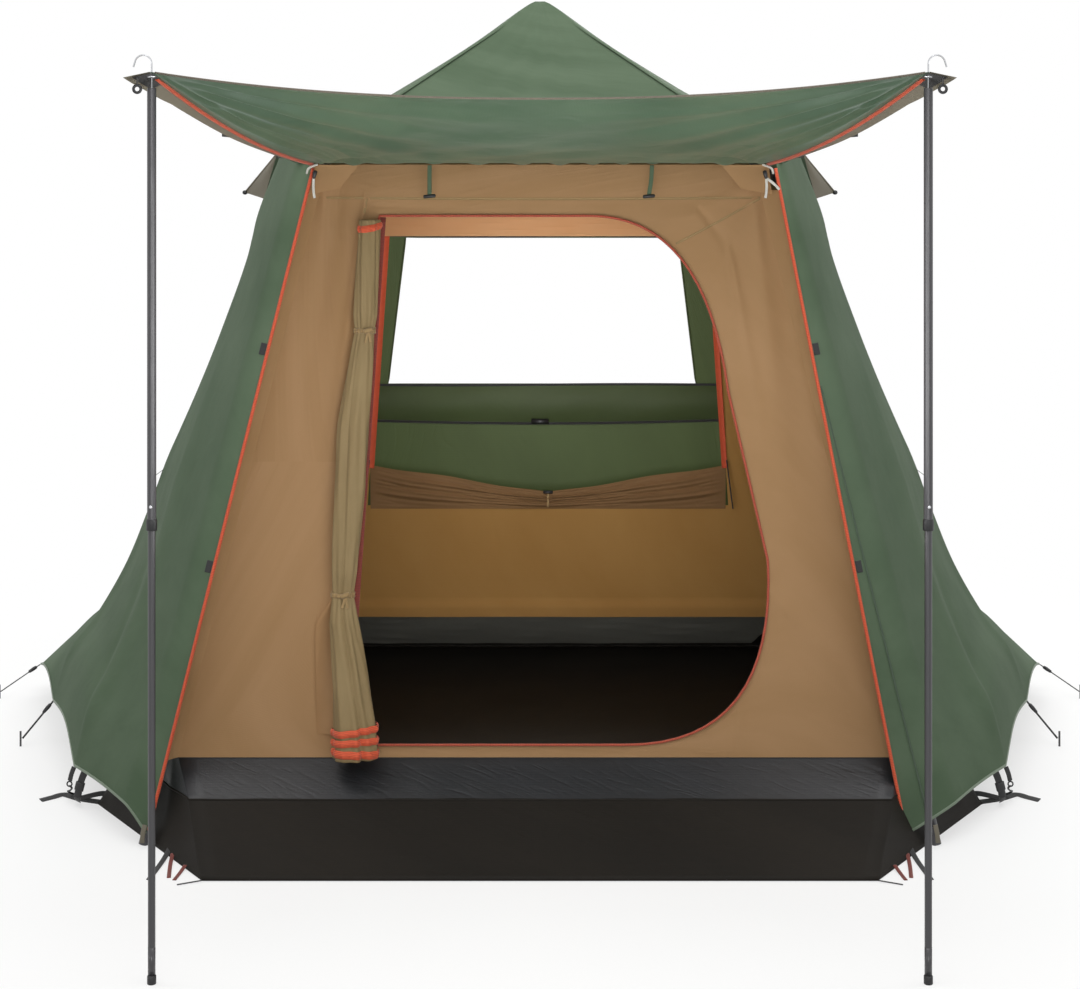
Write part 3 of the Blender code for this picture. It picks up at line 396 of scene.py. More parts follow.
# Corded piping bound in grosgrain: bright on the fly; the muted, dark red and darker orange copies are
# the same orange piping, darkened as painted shade
ORANGE_PIPING = Ribbed("grosgrain piping, orange", "#d4552e", "#a83c1c", rib_mm=4.0)
# The canopy's front piping: the orange piping, muted to grey-brown as painted shade under the canopy's
# edge
FRONT_PIPING_PAINTED_SHADE = Ribbed("grosgrain piping, muted", "#5f5648", "#4c463a", rib_mm=4.0)
SHADED_PIPING = Ribbed("grosgrain piping, dark red in the shade", "#7e2a1a", "#5e1f14", rib_mm=4.0)
# The door's piping: the orange piping, darkened to rust as painted shade under the canopy
DOOR_PIPING_PAINTED_SHADE = Ribbed("grosgrain piping, rust", "#b04a30", "#8c3822", rib_mm=4.0)
# Closed teeth of the front zips
ZIP_COIL = Ribbed("nylon zip coil, green", "#3c4e3b", "#2f3e2f", rib_mm=3.0)
# Braided polypropylene cord
BLACK_CORD = Ribbed("braided cord, black", "#2b2b2c", "#0e0e0f", rib_mm=3.0, slant=1.0)
PALE_CORD = Ribbed("braided pull cord, off-white", "#d9d7d0", "#a9a69c", rib_mm=3.0, slant=1.0)
# Woven nylon webbing
BLACK_WEBBING = Ribbed("nylon webbing, black", "#1d1d1e", "#0a0a0b", rib_mm=3.0)
TAN_WEBBING = Ribbed("polyester tape, tan", "#9b8052", "#7d6440", rib_mm=3.0)
# Steel tube with a baked powder coat: dark grey, faintly pebbled, satin
POWDER_COAT = Hard(
    "powder-coated steel tube, dark grey", "#39383b", grain_mm=2.0, grain_depth_mm=0.06, roughness=0.34,
    coat=0.25)
# Injection-moulded nylon: black with a fine eroded grain
NYLON = Hard(
    "injection-moulded nylon, black", "#18181a", grain_mm=1.2, grain_depth_mm=0.05, roughness=0.48)
# Bent steel wire with bright nickel plate
NICKEL_WIRE = Hard(
    "nickel-plated steel wire", "#c4c5c8", grain_mm=1.5, grain_depth_mm=0.01, roughness=0.16,
    metallic=1.0)


class Wardrobe:
    """Builds each finish once."""

    def __init__(self) -> None:
        """Start with no materials."""
        self._made: dict[str, bpy.types.Material] = {}

    def get(self, finish: Finish) -> bpy.types.Material:
        """Return the finish's material, built on first use."""
        if finish.name not in self._made:
            self._made[finish.name] = finish.build()
        return self._made[finish.name]


WARDROBE = Wardrobe()


# Surfaces


def blend(a: Number, b: Number, t: Number) -> Number:
    """Point or number a share t of the way from a to b."""
    return a + (b - a) * t


def step(low: float, high: float, x: Number) -> Number:
    """Smooth rise from 0 at low to 1 at high."""
    t = np.clip((x - low) / (high - low), 0, 1)
    return t * t * (3 - 2 * t)


def bell(x: Number, width: float) -> Number:
    """Gaussian bump of this half width, 1 at x = 0."""
    return np.exp(-(x / width) ** 2)


def pack(x: Number, y: Number, z: Number) -> Array:
    """Stack three coordinate arrays into points, spread to one shape."""
    return np.stack(np.broadcast_arrays(x, y, z), axis=-1).astype(float)


def mesh_grid(rows: int, columns: int) -> tuple[Array, Array]:
    """Two parameters from 0 to 1 over a grid.

    Args:
        rows: number of cells along v.
        columns: number of cells along u.

    Returns:
        u and v, each of rows + 1 by columns + 1.
    """
    u, v = np.meshgrid(np.linspace(0, 1, columns + 1), np.linspace(0, 1, rows + 1))
    return u, v


def grid_normals(points: Array) -> Array:
    """Unit normals of a grid of points, from the cross product of its two differences."""
    along = np.gradient(points, axis=1)
    down = np.gradient(points, axis=0)
    normal = np.cross(along, down)
    return normal / np.maximum(np.linalg.norm(normal, axis=-1, keepdims=True), 1e-12)


def metric_uv(points: Array) -> Array:
    """UV of a grid in metres: the length along each row from its middle, and down the columns."""
    across = np.linalg.norm(np.diff(points, axis=1), axis=-1)
    down = np.linalg.norm(np.diff(points, axis=0), axis=-1).mean(axis=1)
    u = np.concatenate([np.zeros((points.shape[0], 1)), np.cumsum(across, axis=1)], axis=1)
    u -= u[:, -1:] / 2
    v = np.concatenate([[0.0], np.cumsum(down)])
    return np.stack([u, np.broadcast_to(v[:, None], u.shape)], axis=-1)


def straight(start: Array, run: Sequence[float], count: int) -> Array:
    """Evenly spaced points from a start along a run."""
    return start + np.linspace(0, 1, count)[:, None] * np.array(run)


def hoop(centre: Array, radius: float, count: int) -> Array:
    """A ring of points that stands across the tent's depth, its last point on its first."""
    turn = np.linspace(0, 2 * np.pi, count)
    return centre + pack(radius * np.sin(turn), 0 * turn, radius * np.cos(turn))


def barrel(end: float, middle: float, length: float, bevel: float = 0.002) -> Profile:
    """Profile of a toggle or a cap: a cylinder with bevelled ends."""
    return [(end, 0.0), (middle, bevel), (middle, length - bevel), (end, length)]


def with_caps(rings: Array) -> Array:
    """Close a row of rings to a point at each end."""
    first, last = (np.repeat(rings[i].mean(axis=0)[None, None], rings.shape[1], axis=1) for i in (0, -1))
    return np.concatenate([first, rings, last], axis=0)


def surface(name: str, points: Array, finish: Finish, closed: bool = False,
            merge: bool = False, outward: Optional[Sequence[float]] = None) -> Piece:
    """Make an object from a grid of points.

    Args:
        name: the piece's name.
        points: rows by columns by 3, in the row frame.
        finish: its finish.
        closed: whether the last column joins the first.
        merge: whether coincident points, as at a pole or a cap, become one.
        outward: a direction that the faces should look in on the whole.

    Returns:
        The object, at the origin, with a UV map in metres.
    """
    if closed:
        points = np.concatenate([points, points[:, :1]], axis=1)
    uv = metric_uv(points)
    if outward is not None:
        flat = grid_normals(points).reshape(-1, 3).sum(axis=0)
        if float(flat @ np.array(outward, float)) > 0:
            points, uv = points[:, ::-1], uv[:, ::-1]
    rows, columns = points.shape[:2]
    corner = np.arange(rows * columns).reshape(rows, columns)
    quads = np.stack(
        [corner[:-1, :-1], corner[1:, :-1], corner[1:, 1:], corner[:-1, 1:]], axis=-1).reshape(-1, 4)
    data = bpy.data.meshes.new(name)
    data.from_pydata(points.reshape(-1, 3).tolist(), [], quads.tolist())
    layer = data.uv_layers.new(name="UVMap")
    layer.data.foreach_set("uv", uv.reshape(-1, 2)[quads.ravel()].astype(np.float32).ravel())
    if closed or merge:
        bm = bmesh.new()
        bm.from_mesh(data)
        bmesh.ops.remove_doubles(bm, verts=bm.verts, dist=1e-6)
        if merge:
            bmesh.ops.recalc_face_normals(bm, faces=bm.faces)
        bm.to_mesh(data)
        bm.free()
    data.polygons.foreach_set("use_smooth", np.ones(len(data.polygons), bool))
    data.materials.append(WARDROBE.get(finish))
    made = bpy.data.objects.new(name, data)
    bpy.context.scene.collection.objects.link(made)
    return made


def path_frames(path: Array, up: Sequence[float]) -> tuple[Array, Array, Array]:
    """Tangent, side and upper direction along a path.

    Args:
        path: points along it.
        up: a direction that the path never runs along.

    Returns:
        Unit tangents, side = tangent x up, and side x tangent.
    """
    tangent = np.gradient(path, axis=0)
    tangent /= np.linalg.norm(tangent, axis=1, keepdims=True)
    side = np.cross(tangent, np.array(up, float))
    side /= np.linalg.norm(side, axis=1, keepdims=True)
    return tangent, side, np.cross(side, tangent)


def tube(name: str, path: Array, radius: Number, finish: Finish, up: Sequence[float] = (0, 0, 1),
         sides: int = 12, flat: float = 1.0, ring: bool = False) -> Piece:
    """A round or oval profile carried along a path, with closed ends.

    Each ring is centre + r (cos a side + flat sin a upper).

    Args:
        name: the piece's name.
        path: points along its middle.
        radius: one radius, or one for each point.
        finish: its finish.
        up: a direction that the path never runs along.
        sides: number of points round the profile.
        flat: height of the profile over its width.
        ring: whether the path closes on itself, with its last point equal to its first.

    Returns:
        The object.
    """
    tangent, side, upper = path_frames(path, up)
    if ring:
        ends = (side[0] + side[-1]) / 2
        side[0] = side[-1] = ends / np.linalg.norm(ends)
        upper[0] = upper[-1] = np.cross(side[0], (tangent[0] + tangent[-1]) / 2)
    angle = np.linspace(0, 2 * np.pi, sides, endpoint=False)
    size = np.broadcast_to(np.asarray(radius, float), (len(path),))[:, None, None]
    rings = path[:, None] + size * (np.cos(angle)[None, :, None] * side[:, None]
                                    + flat * np.sin(angle)[None, :, None] * upper[:, None])
    return surface(name, rings if ring else with_caps(rings), finish, closed=True, merge=True)


def ribbon(name: str, path: Array, across: Sequence[float], width: float, finish: Finish,
           thickness: float = 0.0012, crown: float = 0.0) -> Piece:
    """A flat tape with a thin closed section carried along a path.

    The section is a superellipse, wide along across and thin along the normal.

    Args:
        name: the piece's name.
        path: points along its middle.
        across: the direction of its width.
        width: its width.
        finish: its finish.
        thickness: its thickness.
        crown: how far its middle stands up.

    Returns:
        The object.
    """
    tangent = np.gradient(path, axis=0)
    tangent /= np.linalg.norm(tangent, axis=1, keepdims=True)
    wide = np.array(across, float) - tangent * (tangent @ np.array(across, float))[:, None]
    wide /= np.linalg.norm(wide, axis=1, keepdims=True)
    normal = np.cross(wide, tangent)
    angle = np.linspace(0, 2 * np.pi, 16, endpoint=False)
    x = np.sign(np.cos(angle)) * np.abs(np.cos(angle)) ** 0.5 * width / 2
    y = np.sin(angle) * thickness / 2 + crown * (1 - (2 * x / width) ** 2)
    rings = path[:, None] + x[None, :, None] * wide[:, None] + y[None, :, None] * normal[:, None]
    return surface(name, with_caps(rings), finish, closed=True, merge=True)


def lathe(name: str, base: Sequence[float], profile: Profile, finish: Finish,
          axis: Sequence[float] = (0, 0, 1), sides: int = 24) -> Piece:
    """A profile turned round an axis, with closed ends.

    Args:
        name: the piece's name.
        base: a point on the axis, from which heights count.
        profile: (radius, height) pairs from one end to the other.
        finish: its finish.
        axis: direction of the axis.
        sides: number of points round it.

    Returns:
        The object.
    """
    way = np.array(axis, float)
    way /= np.linalg.norm(way)
    helper = np.array([1.0, 0, 0]) if abs(way[0]) < 0.9 else np.array([0, 1.0, 0])
    one = np.cross(way, helper)
    one /= np.linalg.norm(one)
    two = np.cross(way, one)
    angle = np.linspace(0, 2 * np.pi, sides, endpoint=False)
    spots = np.array([(0.0, profile[0][1]), *profile, (0.0, profile[-1][1])])
    points = (np.array(base, float) + spots[:, 1, None, None] * way + spots[:, 0, None, None]
              * (np.cos(angle)[None, :, None] * one + np.sin(angle)[None, :, None] * two))
    return surface(name, points, finish, closed=True, merge=True)


def soften(points: Sequence[Sequence[float]], count: int, tight: float = 0.5) -> Array:
    """A smooth path through points: Catmull-Rom cubics, sampled evenly by parameter.

    Args:
        points: points that it passes.
        count: number of points to return.
        tight: tension of the curve, 0.5 for the usual one.

    Returns:
        count points.
    """
    spots = np.array(points, float)
    ends = np.concatenate([[2 * spots[0] - spots[1]], spots, [2 * spots[-1] - spots[-2]]])
    s = np.linspace(0, len(spots) - 1, count)
    i = np.minimum(s.astype(int), len(spots) - 2)
    t = (s - i)[:, None]
    p0, p1, p2, p3 = ends[i], ends[i + 1], ends[i + 2], ends[i + 3]
    m1, m2 = (p2 - p0) * tight, (p3 - p1) * tight
    return ((2 * t**3 - 3 * t**2 + 1) * p1 + (t**3 - 2 * t**2 + t) * m1
            + (-2 * t**3 + 3 * t**2) * p2 + (t**3 - t**2) * m2)


def ray_to_outline(angles: Array, centre: Sequence[float], outline: Array) -> Array:
    """Where rays from a centre leave a closed outline that is star-shaped about it.

    Args:
        angles: directions of the rays.
        centre: their start, in the outline's plane.
        outline: its corners.

    Returns:
        One point for each ray.
    """
    start = outline - np.array(centre, float)
    edge = np.roll(start, -1, axis=0) - start
    ray = np.stack([np.cos(angles), np.sin(angles)], axis=-1)
    cross = ray[:, None, 0] * edge[None, :, 1] - ray[:, None, 1] * edge[None, :, 0]
    cross = np.where(np.abs(cross) < 1e-12, 1e-12, cross)
    far = (start[None, :, 0] * edge[None, :, 1] - start[None, :, 1] * edge[None, :, 0]) / cross
    share = (start[None, :, 0] * ray[:, None, 1] - start[None, :, 1] * ray[:, None, 0]) / cross
    good = (far > 0) & (share > -1e-6) & (share < 1 + 1e-6)
    reach = np.where(good, far, np.inf).min(axis=1)
    return np.array(centre, float) + ray * reach[:, None]


@dataclass(frozen=True)
class Crease:
    """A fold in a flat panel, from one point of it to another.

    Attributes:
        start: where it is deepest, in the panel's own two coordinates.
        end: where it has died out.
        width: its half width.
        depth: its height, negative for a valley.
    """

    start: tuple[float, float]
    end: tuple[float, float]
    width: float
    depth: float

    def at(self, a: Array, b: Array) -> Array:
        """Height of the fold over the panel.

        The height is depth x (1 - s)^0.7 x exp(-(d / w)^2), where s is the share of the way from
        start to end, d the distance from that line, and w the width, which grows with s.

        Args:
            a: first coordinate.
            b: second coordinate.

        Returns:
            The height at each point.
        """
        way = np.array(self.end) - np.array(self.start)
        length = float(np.linalg.norm(way))
        way = way / length
        along = ((a - self.start[0]) * way[0] + (b - self.start[1]) * way[1]) / length
        off = (a - self.start[0]) * way[1] - (b - self.start[1]) * way[0]
        share = np.clip(along, 0, 1)
        fade = (1 - share) ** 0.7 * step(-0.12, 0.03, along)
        return self.depth * fade * bell(off, 1.0) ** (1 / (self.width * (0.6 + share)) ** 2)


def creased(a: Array, b: Array, folds: Sequence[Crease]) -> Array:
    """Sum of the heights of a panel's folds."""
    return sum((fold.at(a, b) for fold in folds), np.zeros_like(a))


def ripples(a: Array, b: Array, seed: int, size: float, depth: float) -> Array:
    """Soft uneven billows: a sum of eight sine waves of seeded direction and length.

    Args:
        a: first coordinate, in metres.
        b: second coordinate, in metres.
        seed: seed of the waves.
        size: mean length of a wave.
        depth: height of the sum.

    Returns:
        The height at each point.
    """
    rng = np.random.default_rng(seed)
    turn, phase = rng.uniform(0, np.pi, 8), rng.uniform(0, 2 * np.pi, 8)
    length = size * rng.uniform(0.6, 1.8, 8)
    waves = np.sin(
        2 * np.pi * (a[..., None] * np.cos(turn) + b[..., None] * np.sin(turn)) / length + phase)
    return depth * waves.sum(axis=-1) / 3


# Shared lines of the tent


@dataclass(frozen=True)
class Lines:
    """Lines that the fly, the inner tent and the frame share.

    They are the CAD's, but for the side eaves, the right return and the floor's side corners,
    which follow the photograph.
    """

    peak_z: float = 2.23
    eave_half: float = 0.626
    eave_y: float = 0.816
    eave_z: float = 1.72
    side_eave_x: float = 0.760
    hood_x: float = 0.826
    side_eave_z: float = 1.765
    foot_x: float = 1.026
    foot_y: float = 0.961
    hem_foot_z: float = 0.035
    pole_room: float = 0.056
    roof_room: float = 0.046
    peak_room: float = 0.105
    rim_z: float = 0.205
    rim_front: tuple[float, float] = (0.9215, 0.887)
    rim_side: tuple[float, float] = (1.09, 0.60)
    floor_front: tuple[float, float] = (0.805, 1.195)
    floor_side: tuple[float, float] = (1.192, 0.62)
    return_in: float = 0.038
    return_out: float = 0.004
    return_right: tuple[float, float] = (0.015, 0.104)

    def side_bow(self, fraction: Array) -> Array:
        """How far a side eave stands out: a parabola, 0 at its corners and 1 at its middle."""
        return 1 - (2 * fraction - 1) ** 2

    def return_width(self, hand: Hand, t: Array) -> Array:
        """Width of the fly's front return, which widens towards the ground on the right.

        Args:
            hand: which side.
            t: share of the way down.
        """
        if hand is Hand.LEFT:
            return self.return_in + 0 * t
        return blend(*self.return_right, t)

    def inner_top(self) -> Spot:
        """Upper corner of the inner tent: half width, depth and height."""
        return (
            self.eave_half - self.pole_room, self.eave_y - self.pole_room, self.eave_z - self.roof_room)

    def inner_end_y(self, z: Array) -> Array:
        """Depth of an end wall of the inner tent at a height, along its straight lean."""
        _, top_y, top_z = self.inner_top()
        return blend(top_y, self.rim_front[1], (top_z - z) / (top_z - self.rim_z))

    def rear_y(self, z: Array) -> Array:
        """Depth of the fly's rear wall at a height above its flare."""
        return blend(self.eave_y, self.foot_y, (self.eave_z - z) / (self.eave_z - self.hem_foot_z))


LINES = Lines()
TENT = "tent"
# How far a cloth's face stands off the shared lines
FACE = 0.0015


def settle(piece: Piece, body: str, slot: str, *nodes: str, falls: bool = False) -> Piece:
    """Put a finished piece in the tent: its body and the nodes that it stands for.

    Args:
        piece: the piece, in place.
        body: the CAD body that it rides on.
        slot: not used.
        nodes: CAD nodes that it replaces.
        falls: whether it gets its own copy of its mesh.

    Returns:
        The piece.
    """
    if falls:
        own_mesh(piece)
    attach(piece, body)
    if nodes:
        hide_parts(*nodes)
    LOG.info("%s rides on %s", piece.name, body)
    return piece


def hang(piece: Piece, slot: str, *nodes: str) -> Piece:
    """Settle a soft piece on the tent's own body, with its own copy of its mesh."""
    return settle(piece, TENT, slot, *nodes, falls=True)


# Fly


@dataclass
class RoofCloth:
    """A four-ridged roof cloth from the peak to the eaves, of the fly or of the inner tent.

    Attributes:
        name: the piece's name.
        node: the CAD node that it stands for.
        finish: its cloth.
        slot: the record's slot.
        inset: how far its eaves are inside the fly's.
        drop: how far below the fly's eaves it is.
        peak_drop: how far below the fly's peak it is.
        sag: how far its panels sag between ridges.
    """

    name: str
    node: str
    finish: Cloth
    slot: str
    inset: float = 0.0
    drop: float = 0.0
    peak_drop: float = 0.0
    sag: float = 0.022

    def edge(self, around: Array) -> tuple[Array, Array]:
        """Eave line at a share of the way round, from the front left corner.

        Args:
            around: 0 to 1, a quarter for each side.

        Returns:
            Points of the eave, and 1 midway between two ridges, falling to 0 at them.
        """
        scaled = (around % 1.0) * 4
        index = np.floor(scaled).astype(int) % 4
        fraction = scaled - np.floor(scaled)
        corners = np.array([(-1, -1), (1, -1), (1, 1), (-1, 1)], float)
        corners *= (LINES.eave_half, LINES.eave_y)
        flat = blend(corners[index], corners[(index + 1) % 4], fraction[:, None])
        side = index % 2 == 1
        bow = np.where(side, LINES.side_bow(fraction), 0.0)
        x = flat[:, 0] + np.sign(flat[:, 0]) * (LINES.side_eave_x - LINES.eave_half) * bow
        z = LINES.eave_z + (LINES.side_eave_z - LINES.eave_z) * bow - self.drop
        x *= np.where(
            side, 1 - self.inset / np.maximum(np.abs(x), 1e-6), 1 - self.inset / LINES.eave_half)
        y = flat[:, 1] * (1 - self.inset / LINES.eave_y)
        return pack(x, y, z), np.sin(np.pi * fraction)

    def build(self) -> Piece:
        """Make the cloth.

        Each point is on the line from the peak to the eave, at share t of the way, lowered by
        sag x 4 t (1 - t) between the ridges, and the peak is rounded over the hub.

        Returns:
            The piece.
        """
        columns, rows = 240, 44
        edge, free = self.edge(np.arange(columns) / columns)
        t = np.linspace(0, 1, rows + 1)[:, None]
        peak = np.array([0, 0, LINES.peak_z - self.peak_drop])
        points = blend(peak, edge[None], t[..., None])
        reach = np.linalg.norm(edge[:, :2], axis=1)[None]
        far = t * reach
        blunt = 0.6 * (far - np.sqrt(far**2 + 0.035**2) + 0.035) * np.exp(-(far / 0.16) ** 2)
        points[..., 2] += FACE + blunt - self.sag * free[None] * 4 * t * (1 - t)
        taut = 0.004 * free[None] ** 2 * np.sin(np.pi * t)
        around = np.arange(columns)[None] / columns
        points[..., 2] += taut * np.sin(2 * np.pi * (around * 24 + 2.2 * t))
        made = surface(self.name, points, self.finish, closed=True, merge=True)
        if sum(f.normal.z for f in made.data.polygons) < 0:
            made.data.flip_normals()
        hang(made, self.slot, self.node)
        return made

    def ridge_tapes(self) -> None:
        """Bind each ridge seam with a raised tape, from the peak to the eave."""
        for index, word in enumerate(("front_left", "front_right", "rear_right", "rear_left")):
            edge, _ = self.edge(np.array([index / 4]))
            peak = np.array([0, 0, LINES.peak_z - self.peak_drop])
            t = np.linspace(0.045, 0.998, 30)[:, None]
            path = blend(peak, edge[0], t) + (0, 0, FACE + 0.0012)
            across = np.cross(edge[0] - peak, (0, 0, 1))
            hang(ribbon(f"{self.name}_ridge_tape_{word}", path, across, 0.016, self.finish, crown=0.0008),
                 self.slot)


@dataclass
class FlySide:
    """One side wall of the fly, from the front leg round to the rear leg.

    Attributes:
        hand: which side.
        stops: shares of the way along the hem at which it is tied out.
        hem: the hem's places at the stops, on the right side.
        wing_out: how far the rear tie-out draws the hem outwards.
        wing_start: share of the way down at which that wing starts.
        scallop: height of the hem's arches between its ties.
        front_lift: further height of the hem at the front leg.
        drawn: share of the way down, and how far the wall is drawn in there.
    """

    hand: Hand
    stops: tuple[float, ...] = (0.0, 0.20, 0.50, 0.80, 1.0)
    hem: tuple[Spot, ...] = (
        (1.026, -0.961, 0.035), (1.25, -0.63, 0.105), (1.46, -0.03, 0.12), (1.26, 0.56, 0.085),
        (1.026, 0.961, 0.035))
    wing_out: float = 0.402
    wing_start: float = 0.70
    scallop: float = 0.035
    front_lift: float = 0.062
    drawn: tuple[tuple[float, float], ...] = (
        (0.0, 0.0), (0.1, 0.0), (0.15, 0.011), (0.2, 0.020), (0.35, 0.029), (0.5, 0.026), (0.56, 0.027),
        (0.65, 0.040), (0.75, 0.046), (0.85, 0.024), (0.9, -0.006), (0.95, -0.008), (1.0, 0.0))

    def point(self, f: Array, v: Array) -> Array:
        """Points of the wall.

        Each point is on the line from the eave to the hem, drawn in as the table says and flared
        out at the rear tie-out. The hem arches between its ties.

        Args:
            f: share of the way from the front leg to the rear one.
            v: share of the way down.

        Returns:
            The points.
        """
        side = self.hand.value
        bow = LINES.side_bow(f)
        top = pack(
            side * blend(LINES.eave_half, LINES.side_eave_x, bow), blend(-LINES.eave_y, LINES.eave_y, f),
            blend(LINES.eave_z, LINES.side_eave_z, bow) - 0.0004)
        x, y, z = (np.interp(f, self.stops, [p[i] for p in self.hem]) for i in range(3))
        arch = np.zeros_like(f)
        for low, high in zip(self.stops, self.stops[1:]):
            inside = (f >= low) & (f <= high)
            rise = np.sin(np.pi * (f - low) / (high - low)) * (0.2 if low == 0 else 1.0)
            arch = np.where(inside, rise, arch)
        foot = pack(side * x, y, z + self.scallop * arch)
        foot[..., 2] += self.front_lift * (1 - np.clip(f / self.stops[1], 0, 1))
        points = blend(top, foot, v[..., None])
        curve = soften([(low, 0.0, high) for low, high in self.drawn], 120)
        points[..., 0] -= side * np.interp(v, curve[:, 0], curve[:, 2]) * np.sin(np.pi * f)
        low, peak, high = self.stops[2:5]
        weight = np.clip(np.minimum((f - low) / (peak - low), (high - f) / (high - peak)), 0, 1)
        flare = np.clip((v - self.wing_start) / (1 - self.wing_start), 0, 1) ** 1.1
        points[..., 0] += side * self.wing_out * weight * flare
        return points

    def folds(self, f: Array, v: Array) -> Array:
        """Height of the pulls that run up from each tie-out, and of the soft billows."""
        pulls = [Crease((stop, 1.0), (stop + lean, end), width, depth)
                 for end, width, depth, leans in ((0.30, 0.035, 0.012, (-0.03, 0.0, 0.05)),
                                                  (0.55, 0.018, -0.010, (0.09, 0.10, -0.10)),
                                                  (0.70, 0.014, 0.006, (0.04, 0.05, -0.05)))
                 for stop, lean in zip(self.stops[1:4], leans)]
        free = np.sin(np.pi * f) * np.clip(v * 6, 0, 1)
        rise = creased(f, v, pulls) * np.clip((1 - v) * 10, 0, 1)
        return rise + free * ripples(f * 1.9, v * 1.7, 5, 0.7, 0.004)

    def build(self) -> Piece:
        """Make the wall with its front return.

        Returns:
            The wall.
        """
        side = self.hand.value
        f, v = mesh_grid(96, 160)
        points = self.point(f, v)
        normal = grid_normals(points)
        normal *= np.sign(normal[..., :1].mean() * side)
        points += normal * (FACE + self.folds(f, v))[..., None]
        back = blend(np.array([side * LINES.eave_half, -LINES.eave_y, LINES.eave_z]),
                     np.array([side * LINES.foot_x, -LINES.foot_y, LINES.hem_foot_z]), v[:, :1, None])
        width = LINES.return_width(self.hand, v[:, :1])
        back = back + pack(-side * width, 0 * width - LINES.return_out, 0 * width)
        t = np.linspace(0, 1, 15)[None, :-1, None]
        turn = back * (1 - t) ** 2 + 2 * points[:, :1] * t * (1 - t) + points[:, 4:5] * t ** 2
        points = np.concatenate([turn, points[:, 4:]], axis=1)
        word = self.hand.word
        wall = surface(f"fly_side_cloth_{word}", points, FLY_TAFFETA, outward=(side, 0, 0))
        hang(wall, "fly_green", f"fly_side_{word}")
        self.hem_tape(points[-1])
        self.tie_out_tab()
        return wall

    def tie_out_tab(self) -> None:
        """Sew on the small tab that stands out from the wall's middle, for one more guy."""
        side = self.hand.value
        root = self.point(np.array([0.5]), np.array([0.575]))[0]
        path = straight(root, (side * 0.030, 0, -0.022), 8)
        hang(ribbon(f"fly_tie_out_tab_{self.hand.word}", path, (0, 1, 0), 0.05, FLY_TAFFETA,
                    thickness=0.0015), "fly_green")

    def hem_tape(self, edge: Array) -> None:
        """Turn up the hem: a narrow doubled band along the wall's lower edge."""
        word = self.hand.word
        path = edge[::2] + (0, 0, 0.003)
        hang(ribbon(f"fly_hem_{word}", path, (self.hand.value * 0.25, 0, -1), 0.007, HEM_BINDING,
                    thickness=0.0022), "fly_green")


def window_wall(name: str, outline: Array, hole: Array, centre: Sequence[float],
                place: Callable[[Array, Array], Array], finish: Cloth, outward: Sequence[float],
                rings: int = 40, rays: int = 320) -> Piece:
    """A wall with one opening: rings of points from the opening's edge to the wall's edge.

    Ring k is a share k / n of the way along each ray from the opening's edge to the wall's edge.

    Args:
        name: the piece's name.
        outline: the wall's corners in its own plane, x and z.
        hole: the opening's corners.
        centre: a point inside the opening that sees all of both.
        place: turns x and z into points in space.
        finish: its cloth.
        outward: the direction that it faces.
        rings: number of cells from the opening to the edge.
        rays: number of even rays, to which the corners' rays are added.

    Returns:
        The wall.
    """
    def bearing(points: Array) -> Array:
        return np.arctan2(points[:, 1] - centre[1], points[:, 0] - centre[0])

    even = np.linspace(-np.pi, np.pi, rays, endpoint=False)
    angles = np.unique(np.round(np.concatenate([even, bearing(outline), bearing(hole)]), 6))
    near = ray_to_outline(angles, centre, hole)
    far = ray_to_outline(angles, centre, outline)
    t = np.linspace(0, 1, rings + 1)[:, None, None]
    flat = blend(near[None], far[None], t)
    return surface(name, place(flat[..., 0], flat[..., 1]), finish, closed=True, outward=outward)


def quad_outline(half_top: float, half_low: float, top: float, low: float) -> Array:
    """Corners of a level-topped panel that widens downwards."""
    return np.array([(-half_top, top), (half_top, top), (half_low, low), (-half_low, low)])


